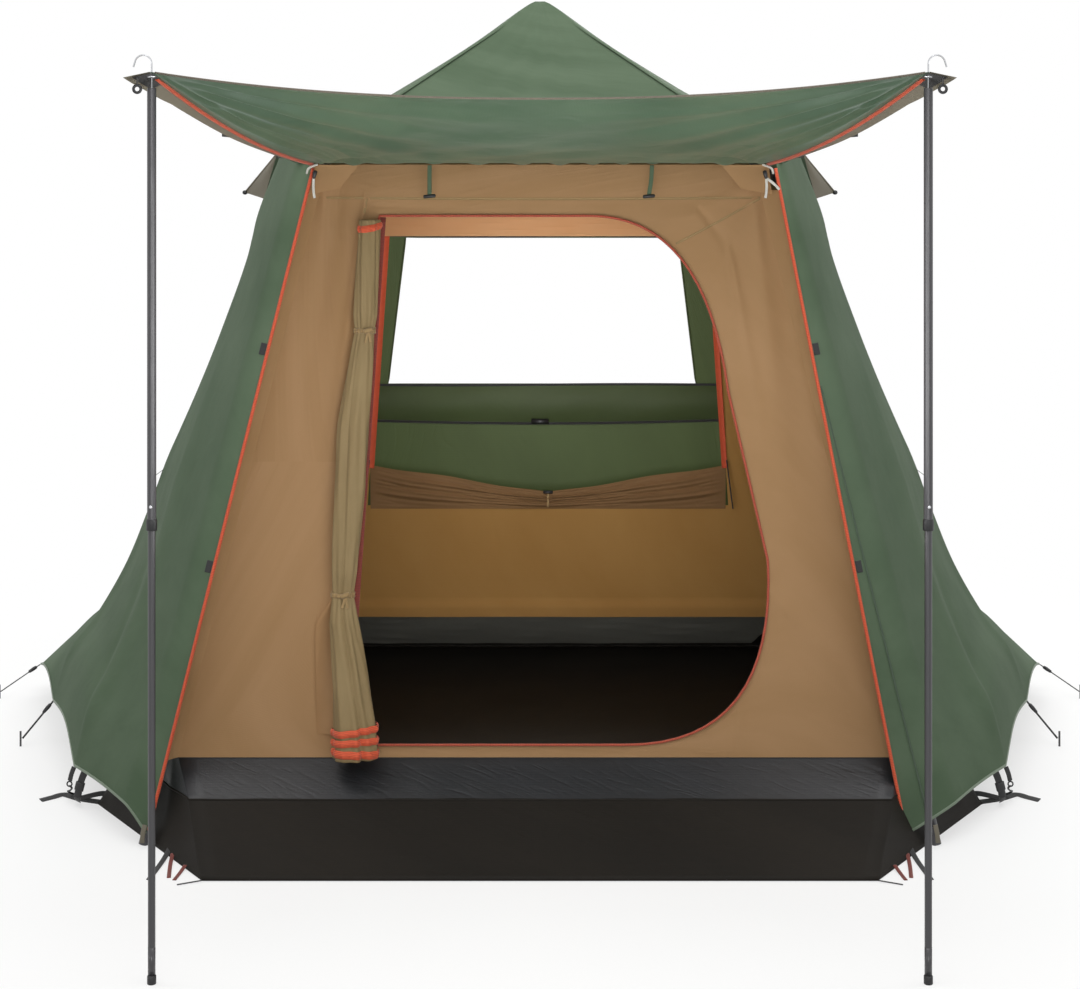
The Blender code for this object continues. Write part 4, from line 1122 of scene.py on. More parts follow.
@dataclass
class FlyRear:
    """The fly's rear wall with its window, flared at the hem, and the window's let-down cover.

    Attributes:
        window_top: height of the window's head.
        window_sill: height of its sill.
        half_top: its half width at the head.
        half_sill: its half width at the sill.
        shift: how far it is to the right of the middle.
        hem_y: depth of the hem.
        hem_half: half width of the hem.
        flare_start: share of the way down at which the flare starts.
    """

    window_top: float = 1.506
    window_sill: float = 0.99
    half_top: float = 0.474
    half_sill: float = 0.539
    shift: float = 0.007
    hem_y: float = 1.235
    hem_half: float = 0.83
    flare_start: float = 0.72

    def place(self, x: Array, z: Array) -> Array:
        """Points of the wall over its own flat outline, which ends at the ground corners."""
        v = (LINES.eave_z - z) / (LINES.eave_z - LINES.hem_foot_z)
        half = blend(LINES.eave_half, LINES.foot_x, v)
        sideways = np.clip(x / half, -1, 1)
        flare = np.clip((v - self.flare_start) / (1 - self.flare_start), 0, 1)
        u = (sideways + 1) / 2
        weight = np.minimum(1.0, np.minimum(u, 1 - u) / 0.1)
        inner = LINES.foot_x * 0.8
        out_x = half * sideways * (1 + (self.hem_half / inner - 1) * flare * weight)
        y = blend(LINES.eave_y, LINES.foot_y, v) + (self.hem_y - LINES.foot_y) * flare * weight
        soft = np.minimum(1, (1 - np.abs(sideways)) * 5)
        y += FACE + soft * ripples(x, z, 8, 0.8, 0.003)
        return pack(out_x, y, z)

    def build(self) -> None:
        """Make the wall, the window's binding and its cover."""
        outline = quad_outline(LINES.eave_half - 0.001, LINES.foot_x - 0.003,
                               LINES.eave_z - 0.0008, LINES.hem_foot_z + 0.0005)
        hole = quad_outline(self.half_top, self.half_sill, self.window_top, self.window_sill)
        hole[:, 0] += self.shift
        wall = window_wall("fly_rear_cloth", outline, hole, (0, 1.24), self.place, FLY_SUNNY, (0, 1, 0))
        hang(wall, "fly_green", "fly_rear_wall")
        corners = np.concatenate([hole, hole[:1]])
        path = np.concatenate([blend(corners[i], corners[i + 1], np.linspace(0, 1, 24)[:-1, None])
                               for i in range(4)] + [corners[4:]])
        points = pack(path[:, 0], LINES.rear_y(path[:, 1]) + 0.001, path[:, 1])
        hang(tube("fly_window_binding", points, 0.003, FLY_SUNNY, up=(0, 1, 0), sides=8, flat=0.5,
                  ring=True), "fly_green")
        self.cover()

    def cover(self) -> None:
        """The window's cover, hanging folded inside the wall below the sill, with its toggle."""
        u, v = mesh_grid(40, 120)
        half = self.half_sill + 0.13
        x = np.linspace(-half, half, 60)
        z = np.full_like(x, self.window_sill - 0.001) + 0.002 * np.sin(5 * x)
        line = pack(x, LINES.rear_y(z) - 0.006, z)
        hang(ribbon("fly_window_sill", line, (0, 0, 1), 0.008, BLACK_WEBBING), "plastic_black")
        z = self.window_sill - 0.002 - 0.125 * v - 0.012 * np.sin(np.pi * u) * v
        bulge = 0.017 * np.sin(np.pi * v) + 0.002 * np.sin(22 * u + 3 * v) * np.sin(np.pi * v)
        points = pack(half * (2 * u - 1), LINES.rear_y(z) - FACE - bulge, z)
        cover = surface("fly_window_cover", points, FLY_SUNNY, outward=(0, -1, 0))
        hang(cover, "fly_green", "fly_window_flap")
        low = points[-1][::4] + (0, -0.003, 0.001)
        hang(tube("fly_window_cover_band", low, 0.0055, BLACK_WEBBING, flat=0.8, sides=8),
             "plastic_black")
        y = low[len(low) // 2][1] - 0.012
        hang(tube("fly_window_toggle", np.array([(-0.03, y, 0.86), (0.03, y, 0.86)]), 0.010, NYLON),
             "plastic_black")


# Inner tent


@dataclass
class DoorWall:
    """The inner tent's front wall round its door, with piping and the rolled panel.

    Attributes:
        left: the upper end of the door's straight hinge side.
        left_low: the lower end of that side.
        sill: its lower edge.
        top: its upper edge.
        top_straight: where its upper edge starts to bend down.
        shoulder: where the upper round corner ends.
        knee: where the lower one starts.
        sill_straight: where its lower edge starts to bend up.
    """

    left: float = -0.42
    left_low: float = -0.503
    sill: float = 0.238
    top: float = 1.585
    top_straight: float = 0.13
    shoulder: tuple[float, float] = (0.487, 1.13)
    knee: tuple[float, float] = (0.585, 0.70)
    sill_straight: float = 0.22

    def outline(self) -> Array:
        """Corners of the door, x and z: quadratic curves at its two round corners."""
        def bend(start: tuple[float, float], corner: tuple[float, float],
                 end: tuple[float, float]) -> Array:
            t = np.linspace(0, 1, 17)[1:, None]
            a, b, c = np.array(start), np.array(corner), np.array(end)
            return a * (1 - t) ** 2 + 2 * b * t * (1 - t) + c * t * t

        top = (self.top_straight, self.top)
        low = (self.sill_straight, self.sill)
        return np.concatenate([[(self.left_low, self.sill), (self.left, self.top), top],
                               bend(top, (self.shoulder[0] - 0.057, self.top), self.shoulder),
                               [self.knee], bend(self.knee, (self.knee[0] + 0.02, self.sill), low)])

    def place(self, x: Array, z: Array) -> Array:
        """Points of the wall, with its folds.

        Args:
            x: distance across.
            z: height.

        Returns:
            The points.
        """
        folds = [Crease(*row) for row in (
            ((0.57, 1.67), (0.20, 1.50), 0.020, 0.005),
            ((0.57, 1.67), (0.40, 1.30), 0.018, -0.004),
            ((-0.57, 1.67), (-0.50, 1.20), 0.020, 0.006),
            ((-0.46, 1.60), (-0.57, 0.75), 0.014, 0.010),
            ((-0.53, 1.60), (-0.70, 0.60), 0.040, -0.010),
            ((0.56, 1.60), (0.66, 0.60), 0.030, 0.009),
            ((0.50, 1.47), (0.60, 0.90), 0.014, 0.006),
            ((0.42, 1.60), (0.53, 1.45), 0.014, -0.006),
            ((0.66, 1.30), (0.84, 0.50), 0.030, 0.007),
            ((-0.60, 1.58), (-0.45, 1.52), 0.012, 0.006),
            ((-0.45, 1.61), (-0.15, 1.60), 0.010, -0.003),
            ((0.20, 0.21), (0.62, 0.36), 0.015, -0.004),
            ((0.51, 0.21), (0.50, 0.42), 0.012, 0.005),
            ((0.90, 0.21), (0.66, 0.75), 0.030, 0.006),
            ((-0.90, 0.21), (-0.55, 0.80), 0.035, 0.006),
            ((-0.46, 0.23), (-0.52, 0.95), 0.020, -0.005),
            ((0.59, 0.62), (0.80, 0.40), 0.020, 0.004))]
        lift = creased(x, z, folds) + ripples(x, z * 0.6, 21, 0.45, 0.0018)
        room = np.clip((z - 0.21) / 0.05, 0, 1) * np.clip((1.719 - z) / 0.05, 0, 1)
        return pack(x, -(LINES.inner_end_y(z) + FACE) - lift * room, z)

    def build(self) -> None:
        """Make the wall, the door's piping, the rolled panel and the wall's seam tapes."""
        side = np.array([(0.53, 1.719), (self.edge_at(1.668), 1.668), (self.edge_at(0.2056), 0.2056)])
        outline = np.concatenate([side * (-1, 1), side[::-1]])[::-1]
        wall = window_wall("inner_front_cloth", outline, self.outline(), (0.02, 0.95),
                           self.place, INNER_POLYESTER, (0, -1, 0), rings=64, rays=420)
        hang(wall, "inner_tan", "inner_front_wall")
        for hand in Hand:
            self.flange(hand)
        self.piping()
        self.seams()
        RolledDoor().build()

    def edge_at(self, z: Array) -> Array:
        """Half width of the wall at a height."""
        half_top, _, top_z = LINES.inner_top()
        return blend(half_top, LINES.rim_front[0], (top_z - z) / (top_z - LINES.rim_z)) - 0.0005

    def flange(self, hand: Hand) -> None:
        """Carry the wall on at one side, forward past the leg to the fly's zipped edge."""
        u, v = mesh_grid(60, 12)
        z = blend(1.652, LINES.rim_z + 0.001, v)
        t = (LINES.eave_z - z) / (LINES.eave_z - LINES.hem_foot_z)
        root = self.place(hand.value * self.edge_at(z), z)
        rim_x = blend(LINES.eave_half, LINES.foot_x, t) - LINES.return_width(hand, t) + 0.010
        rim_y = blend(LINES.eave_y, LINES.foot_y, t) + LINES.return_out - 0.006
        points = blend(root, pack(hand.value * rim_x, -rim_y, z), u[..., None])
        points[..., 1] += 0.006 * np.sin(np.pi * u)
        hang(surface(f"inner_front_flange_{hand.word}", points, INNER_POLYESTER, outward=(0, -1, 0)),
             "inner_tan")
        corners = np.array([(0.470, -0.8125, 1.716), (0.592, -0.8150, 1.7175),
                            (0.520, -0.8125, 1.655), (0.600, -0.8150, 1.640)])
        corners *= (hand.value, 1, 1)
        u, v = (part[..., None] for part in mesh_grid(20, 20))
        points = blend(blend(corners[0], corners[1], u), blend(corners[2], corners[3], u), v)
        points[..., 1] -= 0.002 * np.sin(np.pi * u[..., 0]) * np.sin(np.pi * v[..., 0])
        hang(surface(f"inner_front_gusset_{hand.word}", points, INNER_POLYESTER, outward=(0, -1, 0)),
             "inner_tan")

    def piping(self) -> None:
        """Run the orange piping round the door, a little proud of the wall."""
        corners = self.outline()
        loop = np.concatenate([corners, corners[:1]])
        length = np.concatenate([[0], np.cumsum(np.linalg.norm(np.diff(loop, axis=0), axis=1))])
        s = np.linspace(0, length[-1], 400)
        x, z = (np.interp(s, length, loop[:, i]) for i in range(2))
        y = -(LINES.inner_end_y(z) + 0.003) - 0.0046
        hang(tube("door_piping_cord", pack(x, y, z), 0.0034, DOOR_PIPING_PAINTED_SHADE, up=(0, 1, 0), sides=10,
                  ring=True), "piping_orange", "door_piping")
        z = np.linspace(self.top - 0.004, self.sill + 0.01, 90)
        x = np.interp(z, (self.sill, self.top), (self.left_low, self.left)) + 0.010
        hang(ribbon("door_hinge_tape", pack(x, -(LINES.inner_end_y(z) + 0.001), z), (1, 0, 0), 0.016,
                    SHADED_PIPING, thickness=0.0016), "piping_orange")

    def seams(self) -> None:
        """Lay the felled seams: across above the door, down its left, and up from its shoulder."""
        z = 1.632
        half = self.edge_at(z) - 0.0035
        lines = {"upper": [(-half, z), (-0.2, z - 0.003), (0.2, z - 0.003), (half, z)],
                 "left": [(-0.452, 1.63), (-0.455, 1.61), (-0.458, 1.592)],
                 "right": [(0.355, 1.512), (0.47, 1.572), (0.574, 1.630)]}
        for word, spots in lines.items():
            flat = soften([(x, 0.0, z) for x, z in spots], 60)
            path = self.place(flat[:, 0], flat[:, 2]) - (0, 0.001, 0)
            across = np.cross(path[-1] - path[0], (0, 1, 0))
            hang(ribbon(f"inner_front_seam_{word}", path, across, 0.006, TAN_WEBBING, thickness=0.0012,
                        crown=0.0016), "inner_tan")


@dataclass
class RolledDoor:
    """The door panel, rolled and tied beside the door.

    Attributes:
        left: the door's hinge side.
        depth: depth of the roll over its width.
        stations: height, radius, sideways step and distance from the wall, top to bottom.
    """

    left: float = -0.42
    depth: float = 0.85
    stations: tuple[tuple[float, float, float, float], ...] = (
        (1.575, 0.028, -0.023, 0.0075), (1.45, 0.031, -0.026, 0.0075), (1.33, 0.030, -0.029, 0.005),
        (1.288, 0.023, -0.0315, 0.002), (1.22, 0.031, -0.038, 0.0006), (1.046, 0.040, -0.057, 0.0006),
        (0.892, 0.040, -0.065, 0.0006), (0.68, 0.032, -0.080, 0.0006), (0.618, 0.025, -0.084, 0.0006),
        (0.55, 0.036, -0.080, 0.0006), (0.42, 0.046, -0.063, 0.002), (0.304, 0.053, -0.050, 0.006),
        (0.222, 0.057, -0.047, 0.0075))

    def ring(self, z: Array, angle: Array, puff: float = 0.0) -> Array:
        """Points of the roll's skin.

        The radius is R(z) x (1 + folds), where the folds are sines that wander round the roll
        with height, and R(z) narrows at the ties. One deep fold, the rolled cloth's free edge,
        winds down the front.

        Args:
            z: heights, one for each row.
            angle: angles, one for each column.
            puff: distance outside the skin.

        Returns:
            The points, rows by columns.
        """
        table = np.array(self.stations)[::-1]
        radius, shift, clear = (np.interp(z, table[:, 0], table[:, i]) for i in (1, 2, 3))
        zz, aa = z[:, None], angle[None]
        folds = (0.07 * np.sin(3 * aa + 4.0 * zz + 0.6 * np.sin(9 * zz))
                 + 0.05 * np.sin(7 * aa - 7.0 * zz) + 0.035 * np.sin(11 * aa + 16 * zz))
        free_edge = np.angle(np.exp(1j * (aa + np.pi / 2 + 0.9 - 1.1 * (1.5 - zz))))
        folds += -0.14 * bell(free_edge, 0.13) + 0.06 * bell(free_edge - 0.3, 0.22)
        tied = bell(zz - 0.618, 0.06) + bell(zz - 1.288, 0.05)
        folds += 0.09 * tied * np.sin(9 * aa + 5 * np.sin(2 * aa))
        size = radius[:, None] * (0.97 + folds) + puff
        y = -(LINES.inner_end_y(z) + 0.003) - clear - radius * self.depth
        return pack(self.left + shift[:, None] + size * np.cos(aa),
                    y[:, None] + size * self.depth * np.sin(aa), zz + 0 * aa)

    def build(self) -> None:
        """Make the roll, the flap behind it, its orange hems and its two ties."""
        angle = np.linspace(0, 2 * np.pi, 96, endpoint=False)
        z = np.linspace(1.575, 0.222, 240)
        hang(surface("door_roll_cloth", with_caps(self.ring(z, angle)), INNER_BACK, closed=True,
                     merge=True), "inner_tan", "door_panel_rolled")
        for index, (height, tall, grow) in enumerate(((1.556, 0.018, 0.0012), (0.290, 0.017, 0.0040),
                                                      (0.262, 0.017, 0.0025), (0.234, 0.019, 0.0012))):
            rows = np.linspace(height + tall / 2, height - tall / 2, 9)
            band = self.ring(rows, angle, grow)
            middle = band.mean(axis=1, keepdims=True)
            away = (band - middle) / np.linalg.norm(band - middle, axis=-1, keepdims=True)
            band += away * (0.0035 * np.sin(np.pi * np.linspace(0, 1, 9)))[:, None, None]
            band[..., 2] += 0.006 * np.sin(angle * 1.0 + 0.7 + index)[None]
            hang(surface(f"door_roll_hem_{index + 1}", band, ORANGE_PIPING, closed=True), "piping_orange")
        for word, height in (("upper", 1.288), ("lower", 0.618)):
            for turn in (-1, 1):
                around = np.linspace(0, 2 * np.pi, 73)
                path = self.ring(np.array([height]), around, 0.002)[0]
                path[:, 2] += turn * (0.004 + 0.003 * np.sin(around))
                hang(tube(f"door_tie_{word}_{turn}", path, 0.0032, TAN_WEBBING, sides=8, flat=1.3,
                          ring=True), "inner_tan")
            front = self.ring(np.array([height]), np.array([-1.2]), 0.004)[0, 0]
            hang(lathe(f"door_tie_toggle_{word}", front + (-0.012, -0.004, -0.002),
                       barrel(0.004, 0.0065, 0.024), TAN_WEBBING, axis=(1, 0, 0.35), sides=12),
                 "inner_tan")
            for lean in (-0.5, 0.4):
                drop = straight(front + (0, -0.004, 0), (0.016 * lean, -0.004, -0.030), 14)
                hang(ribbon(f"door_tie_tail_{word}_{lean}", drop, (1, 0, 0), 0.006, TAN_WEBBING),
                     "inner_tan")
        self.back_flap()

    def back_flap(self) -> None:
        """The loose inner corner of the panel, which hangs behind the roll below its lower tie."""
        u, v = mesh_grid(30, 16)
        z = blend(0.66, 0.265, v)
        x = blend(-0.512, -0.512 - 0.066 * step(0, 0.35, v), 1 - u) + 0.01 * v
        y = -(LINES.inner_end_y(z) + 0.003) - 0.006 - 0.004 * np.sin(5 * u + 4 * v)
        hang(surface("door_back_flap", pack(x, y, z), INNER_POLYESTER, outward=(0, -1, 0)), "inner_tan")


@dataclass
class InnerRear:
    """The inner tent's rear wall with its opening, and the panel let down below it.

    Attributes:
        top: height of the opening's head.
        sill: height of its sill.
        half_top: its half width at the head.
        half_sill: its half width at the sill.
        shift: how far it is to the right of the middle.
        low: height of the wall's lower edge, behind the tub's rim.
    """

    top: float = 1.512
    sill: float = 0.57
    half_top: float = 0.560
    half_sill: float = 0.629
    shift: float = 0.028
    low: float = 0.176

    def place(self, x: Array, z: Array) -> Array:
        """Points of the wall, with soft billows."""
        lap = 0.016 * step(0.0, 1.0, (0.235 - z) / 0.025)
        return pack(x, LINES.inner_end_y(z) + FACE - lap + ripples(x, z, 31, 0.5, 0.0014), z)

    def build(self) -> None:
        """Make the wall, its piping, its head's band and the let-down panel."""
        half_top, _, top_z = LINES.inner_top()
        outline = quad_outline(half_top - 0.0005, LINES.rim_front[0] - 0.0005, top_z - 0.0005, self.low)
        hole = quad_outline(self.half_top, self.half_sill, self.top, self.sill)
        hole[:, 0] += self.shift
        wall = window_wall(
            "inner_rear_cloth", outline, hole, (0, 1.1), self.place, INNER_SUNNY, (0, 1, 0))
        hang(wall, "inner_tan", "inner_rear_wall")
        for hand in Hand:
            t = np.linspace(0, 0.86, 40)
            x = self.shift + hand.value * (blend(self.half_top, self.half_sill, t) + 0.001)
            z = blend(self.top, self.sill, t)
            path = pack(x - hand.value * 0.006, LINES.inner_end_y(z) - 0.006, z)
            hang(ribbon(f"inner_window_piping_{hand.word}", path, (1, 0, 0), 0.019, ORANGE_PIPING,
                        thickness=0.003, crown=0.003), "piping_orange")
            drop = straight(
                path[-1] + (hand.value * 0.006, -0.010, 0.03), (hand.value * 0.022, 0, -0.17), 12)
            hang(tube(f"inner_window_pull_{hand.word}", drop, 0.0025, BLACK_CORD, sides=6), "cord_black")
        x = self.shift + np.linspace(-self.half_top, self.half_top, 40)
        head = pack(x, LINES.inner_end_y(np.full_like(x, self.top)) - 0.002,
                    self.top - 0.001 + 0.002 * np.sin(9 * x))
        hang(ribbon("inner_window_head", head, (0, 0, 1), 0.009, BLACK_WEBBING), "plastic_black")
        u, v = mesh_grid(24, 200)
        z, x = blend(1.640, self.top - 0.002, u), 1.16 * (v - 0.5)
        wave = np.abs(np.sin(np.pi * (x - 0.9 * (1.6 - z)) / 0.084 + 0.8 * np.sin(5 * x)))
        points = pack(x, LINES.inner_end_y(z) - 0.006 - 0.008 * (1 - wave ** 0.6), z)
        hang(surface("inner_head_strip", points, INNER_LIT, outward=(0, -1, 0)), "inner_tan")
        self.panel()

    def panel(self) -> None:
        """The let-down panel: a cloth caught at its middle, with slack folds to both sides."""
        u, v = mesh_grid(60, 200)
        sideways = np.abs(2 * u - 1)
        height = 0.155 * (0.37 + 0.63 * sideways)
        z = self.sill - 0.012 + height * (1 - v) - 0.003 * np.sin(7 * np.pi * u) * (1 - v)
        wave = 0.013 * (0.5 - 0.5 * np.cos(6 * np.pi * u)) * np.sin(np.pi * v)
        slack = np.sin(np.pi * v) * step(0, 0.12, 1 - sideways)
        wave += 0.0045 * slack * np.sin(5.5 * np.pi * v ** 0.8 + 3.0 * sideways)
        wave += 0.0025 * slack * np.sin(13 * np.pi * v + 9 * sideways ** 2)
        points = pack(self.shift + (self.half_sill - 0.01) * (2 * u - 1),
                      LINES.inner_end_y(z) - FACE - np.abs(wave), z)
        panel = surface("inner_window_folds", points, PANEL_POLYESTER, outward=(0, -1, 0))
        hang(panel, "inner_tan", "inner_window_panel")
        middle = points[2, points.shape[1] // 2]
        hang(lathe("inner_window_toggle", middle + (-0.017, -0.010, 0.002), barrel(0.003, 0.006, 0.034),
                   NYLON, axis=(1, 0, 0), sides=12), "plastic_black")
        drop = straight(middle + (0, -0.012, 0), (0, 0, -0.05), 10)
        hang(ribbon("inner_window_loop", drop, (1, 0, 0), 0.007, TAN_WEBBING), "inner_tan")


@dataclass
class InnerSide:
    """One side wall of the inner tent."""

    hand: Hand

    def build(self) -> None:
        """Make the wall: straight lines from the eave to the tub's rim, with soft billows."""
        side = self.hand.value
        u, v = mesh_grid(60, 120)
        half_top, top_y, top_z = LINES.inner_top()
        bow = LINES.side_bow(u)
        top = pack(
            side * blend(half_top, LINES.side_eave_x - LINES.pole_room, bow), blend(-top_y, top_y, u),
            blend(top_z, LINES.side_eave_z - LINES.roof_room, bow) - 0.0006)
        stops = (0.0, 0.25, 0.75, 1.0)
        rims = (LINES.rim_front, LINES.rim_side, LINES.rim_side, LINES.rim_front)
        x = np.interp(u, stops, [p[0] for p in rims])
        y = np.interp(u, stops, [s * p[1] for s, p in zip((-1, -1, 1, 1), rims)])
        foot = pack(side * x, y, LINES.rim_z + 0.0008)
        points = blend(top, foot, v[..., None])
        soft = np.sin(np.pi * u) * np.sin(np.pi * v)
        points[..., 0] += side * (FACE + soft * ripples(u * 1.7, v * 1.5, 41, 0.6, 0.005))
        word = self.hand.word
        wall = surface(f"inner_side_cloth_{word}", points, INNER_POLYESTER, outward=(side, 0, 0))
        hang(wall, "inner_tan", f"inner_side_{word}")


@dataclass
class TubFloor:
    """The tub floor: eight-sided, with a leaning wall of two strips all round.

    Attributes:
        seam: share of the wall's height at which its two strips meet.
        side_points: number of points along each of its eight sides.
    """

    seam: float = 0.66
    side_points: int = 40

    def loop(self, half: tuple[tuple[float, float], tuple[float, float]], count: int) -> Array:
        """Points round an eight-sided outline, evenly along each side.

        Args:
            half: the front and the side corner.
            count: number of points on each side.

        Returns:
            8 x count points, x and y.
        """
        (fx, fy), (sx, sy) = half
        corners = np.array(
            [(-fx, -fy), (fx, -fy), (sx, -sy), (sx, sy), (fx, fy), (-fx, fy), (-sx, sy), (-sx, -sy)])
        ahead = np.roll(corners, -1, axis=0)
        t = np.linspace(0, 1, count, endpoint=False)
        return blend(corners[:, None], ahead[:, None], t[None, :, None]).reshape(-1, 2)

    def build(self) -> None:
        """Make the floor, the lower strip, the shiny upper band and the rim's hem."""
        low = self.loop((LINES.floor_front, LINES.floor_side), self.side_points)
        rim = self.loop((LINES.rim_front, LINES.rim_side), self.side_points)
        share = np.linspace(0, 1, 30)[:, None]
        floor = pack(low[:, 0] * share, low[:, 1] * share, FACE)
        floor[..., 2] += 0.002 * np.abs(ripples(floor[..., 0], floor[..., 1], 51, 0.5, 1.0))
        floor[-1, :, 2] = FACE
        up = np.linspace(0, 1, 26)[1:, None, None]
        wall = blend(pack(low[:, 0], low[:, 1], FACE)[None],
                     pack(rim[:, 0], rim[:, 1], LINES.rim_z - 0.001)[None], up)
        a = np.arctan2(wall[..., 1], wall[..., 0])
        soft = np.sin(np.pi * up[..., 0])
        push = soft * (0.004 * np.sin(17 * a) + 0.003 * np.sin(29 * a + 4 * up[..., 0]))
        away = wall[..., :2] / np.linalg.norm(wall[..., :2], axis=-1, keepdims=True)
        wall[..., :2] -= away * (np.abs(push) + 0.002)[..., None]
        cut = int(round(self.seam * len(wall)))
        lower = np.concatenate([floor, wall[:cut]], axis=0)
        tub = surface("tub_floor_cloth", lower, FLOOR_OXFORD, closed=True, merge=True)
        if sum(f.normal.z * f.area for f in tub.data.polygons) > 0:
            tub.data.flip_normals()
        hang(tub, "floor_black", "tub_groundsheet")
        band = surface("tub_band_cloth", wall[cut - 1:], FLOOR_BAND, closed=True)
        hang(band, "floor_black")
        # A pale sheet just inside the rear band: painted light on the band's inner face
        rear = slice(4 * self.side_points + 1, 5 * self.side_points)
        inner = wall[1:-1, rear] + (0, -0.006, 0)
        inner[..., 1] -= 0.003 * np.abs(ripples(inner[..., 0], inner[..., 2] * 4, 71, 0.2, 1.0))
        hang(surface("tub_band_lining", inner, BAND_INSIDE_PAINTED_LIGHT, outward=(0, -1, 0)), "floor_black")
        for word, row, finish in (
                ("seam", wall[cut - 1], FLOOR_OXFORD), ("rim", wall[-1], BLACK_WEBBING)):
            loop = np.concatenate([row, row[:1]])
            hang(tube(f"tub_{word}_welt", loop, 0.0028, finish, up=(0, 0, 1), sides=8, ring=True),
                 "floor_black")


# Fly's fastenings


@dataclass
class ZipLine:
    """The orange-piped zip down a front corner of the fly, and its slider.

    Attributes:
        hand: which side.
        radius: the piping's radius.
    """

    hand: Hand
    radius: float = 0.0045

    def path(self, low: float = 0.0, high: float = 1.0, flap: bool = True) -> Array:
        """Points down the flap's edge, or down the zip, between two shares of the way down."""
        side = self.hand.value
        top = np.array([side * LINES.eave_half, -LINES.eave_y, LINES.eave_z])
        foot = np.array([side * LINES.foot_x, -LINES.foot_y, LINES.hem_foot_z])
        offset = (-side * (LINES.return_in + self.radius), -LINES.return_out, 0)
        drop = LINES.eave_z - LINES.hem_foot_z
        t = blend(0.012 / drop, 1 - 0.010 / drop, np.linspace(low, high, 120))[:, None]
        points = blend(top, foot, t) + offset
        if flap:
            points[:, :1] -= side * (LINES.return_width(self.hand, t) - LINES.return_in)
        return points

    def build(self) -> None:
        """Make the piping, the zip's tape with its coil, and the slider."""
        word = self.hand.word
        side = self.hand.value
        path = self.path()
        hang(tube(f"fly_zip_piping_cord_{word}", path, self.radius, ORANGE_PIPING, up=(0, 1, 0),
                  sides=10), "piping_orange", f"fly_zip_piping_{word}")
        hang(ribbon(f"fly_zip_tape_{word}", path + (side * 0.006, 0.0035, 0), (1, 0, 0), 0.014,
                    FLY_TAFFETA), "fly_green")
        path = self.path(flap=False)
        hang(ribbon(f"fly_zip_coil_{word}", path[40:] + (0, -0.0012, 0), (1, 0, 0), 0.004, ZIP_COIL,
                    thickness=0.0012), "fly_green")
        way = (path[-1] - path[0]) / np.linalg.norm(path[-1] - path[0])
        start = path[0] + way * 0.006 + (-side * 0.009, -0.0088, 0)
        profile = [(0.002, 0), (0.0052, 0.002), (0.0056, 0.009), (0.0042, 0.020), (0.002, 0.022)]
        settle(lathe(f"fly_zip_slider_body_{word}", start, profile, NYLON, axis=way, sides=16),
               f"zip_{word}", "plastic_black", f"fly_zip_slider_{word}", falls=True)
        drops = [(-side * 0.002, 0, -0.052)]
        if self.hand is Hand.RIGHT:
            drops.append((0.034, -0.002, -0.030))
        for index, drop in enumerate(drops):
            pull = straight(start + way * 0.020, drop, 24)
            pull[:, 0] += side * 0.002 * np.sin(np.pi * np.linspace(0, 1, 24))
            settle(ribbon(f"fly_zip_pull_{word}_{index + 1}", pull, np.cross(drop, (0, 1, 0)), 0.0065,
                          PALE_CORD, thickness=0.0020, crown=0.0010), f"zip_{word}", "cord_black",
                   falls=True)
        loop = soften([(side * 0.602, -0.828, 1.694), (side * 0.596, -0.832, 1.708),
                       (side * 0.574, -0.826, 1.718)], 20)
        hang(tube(f"fly_zip_loop_{word}", loop, 0.0028, PALE_CORD, up=(0, 1, 0), sides=8), "cord_black")
        for index, low in enumerate((0.270, 0.600)):
            spot = self.path(low, low + 0.019)[::8] + (side * 0.0135, 0.0005, 0)
            tab = ribbon(f"fly_roll_tab_{word}_{index + 1}", spot, (1, 0, 0), 0.016, BLACK_WEBBING,
                         thickness=0.004, crown=0.001)
            clips = [f"leg_clip_front_{word}"] if index == 0 else []
            hang(tab, "plastic_black", *clips)


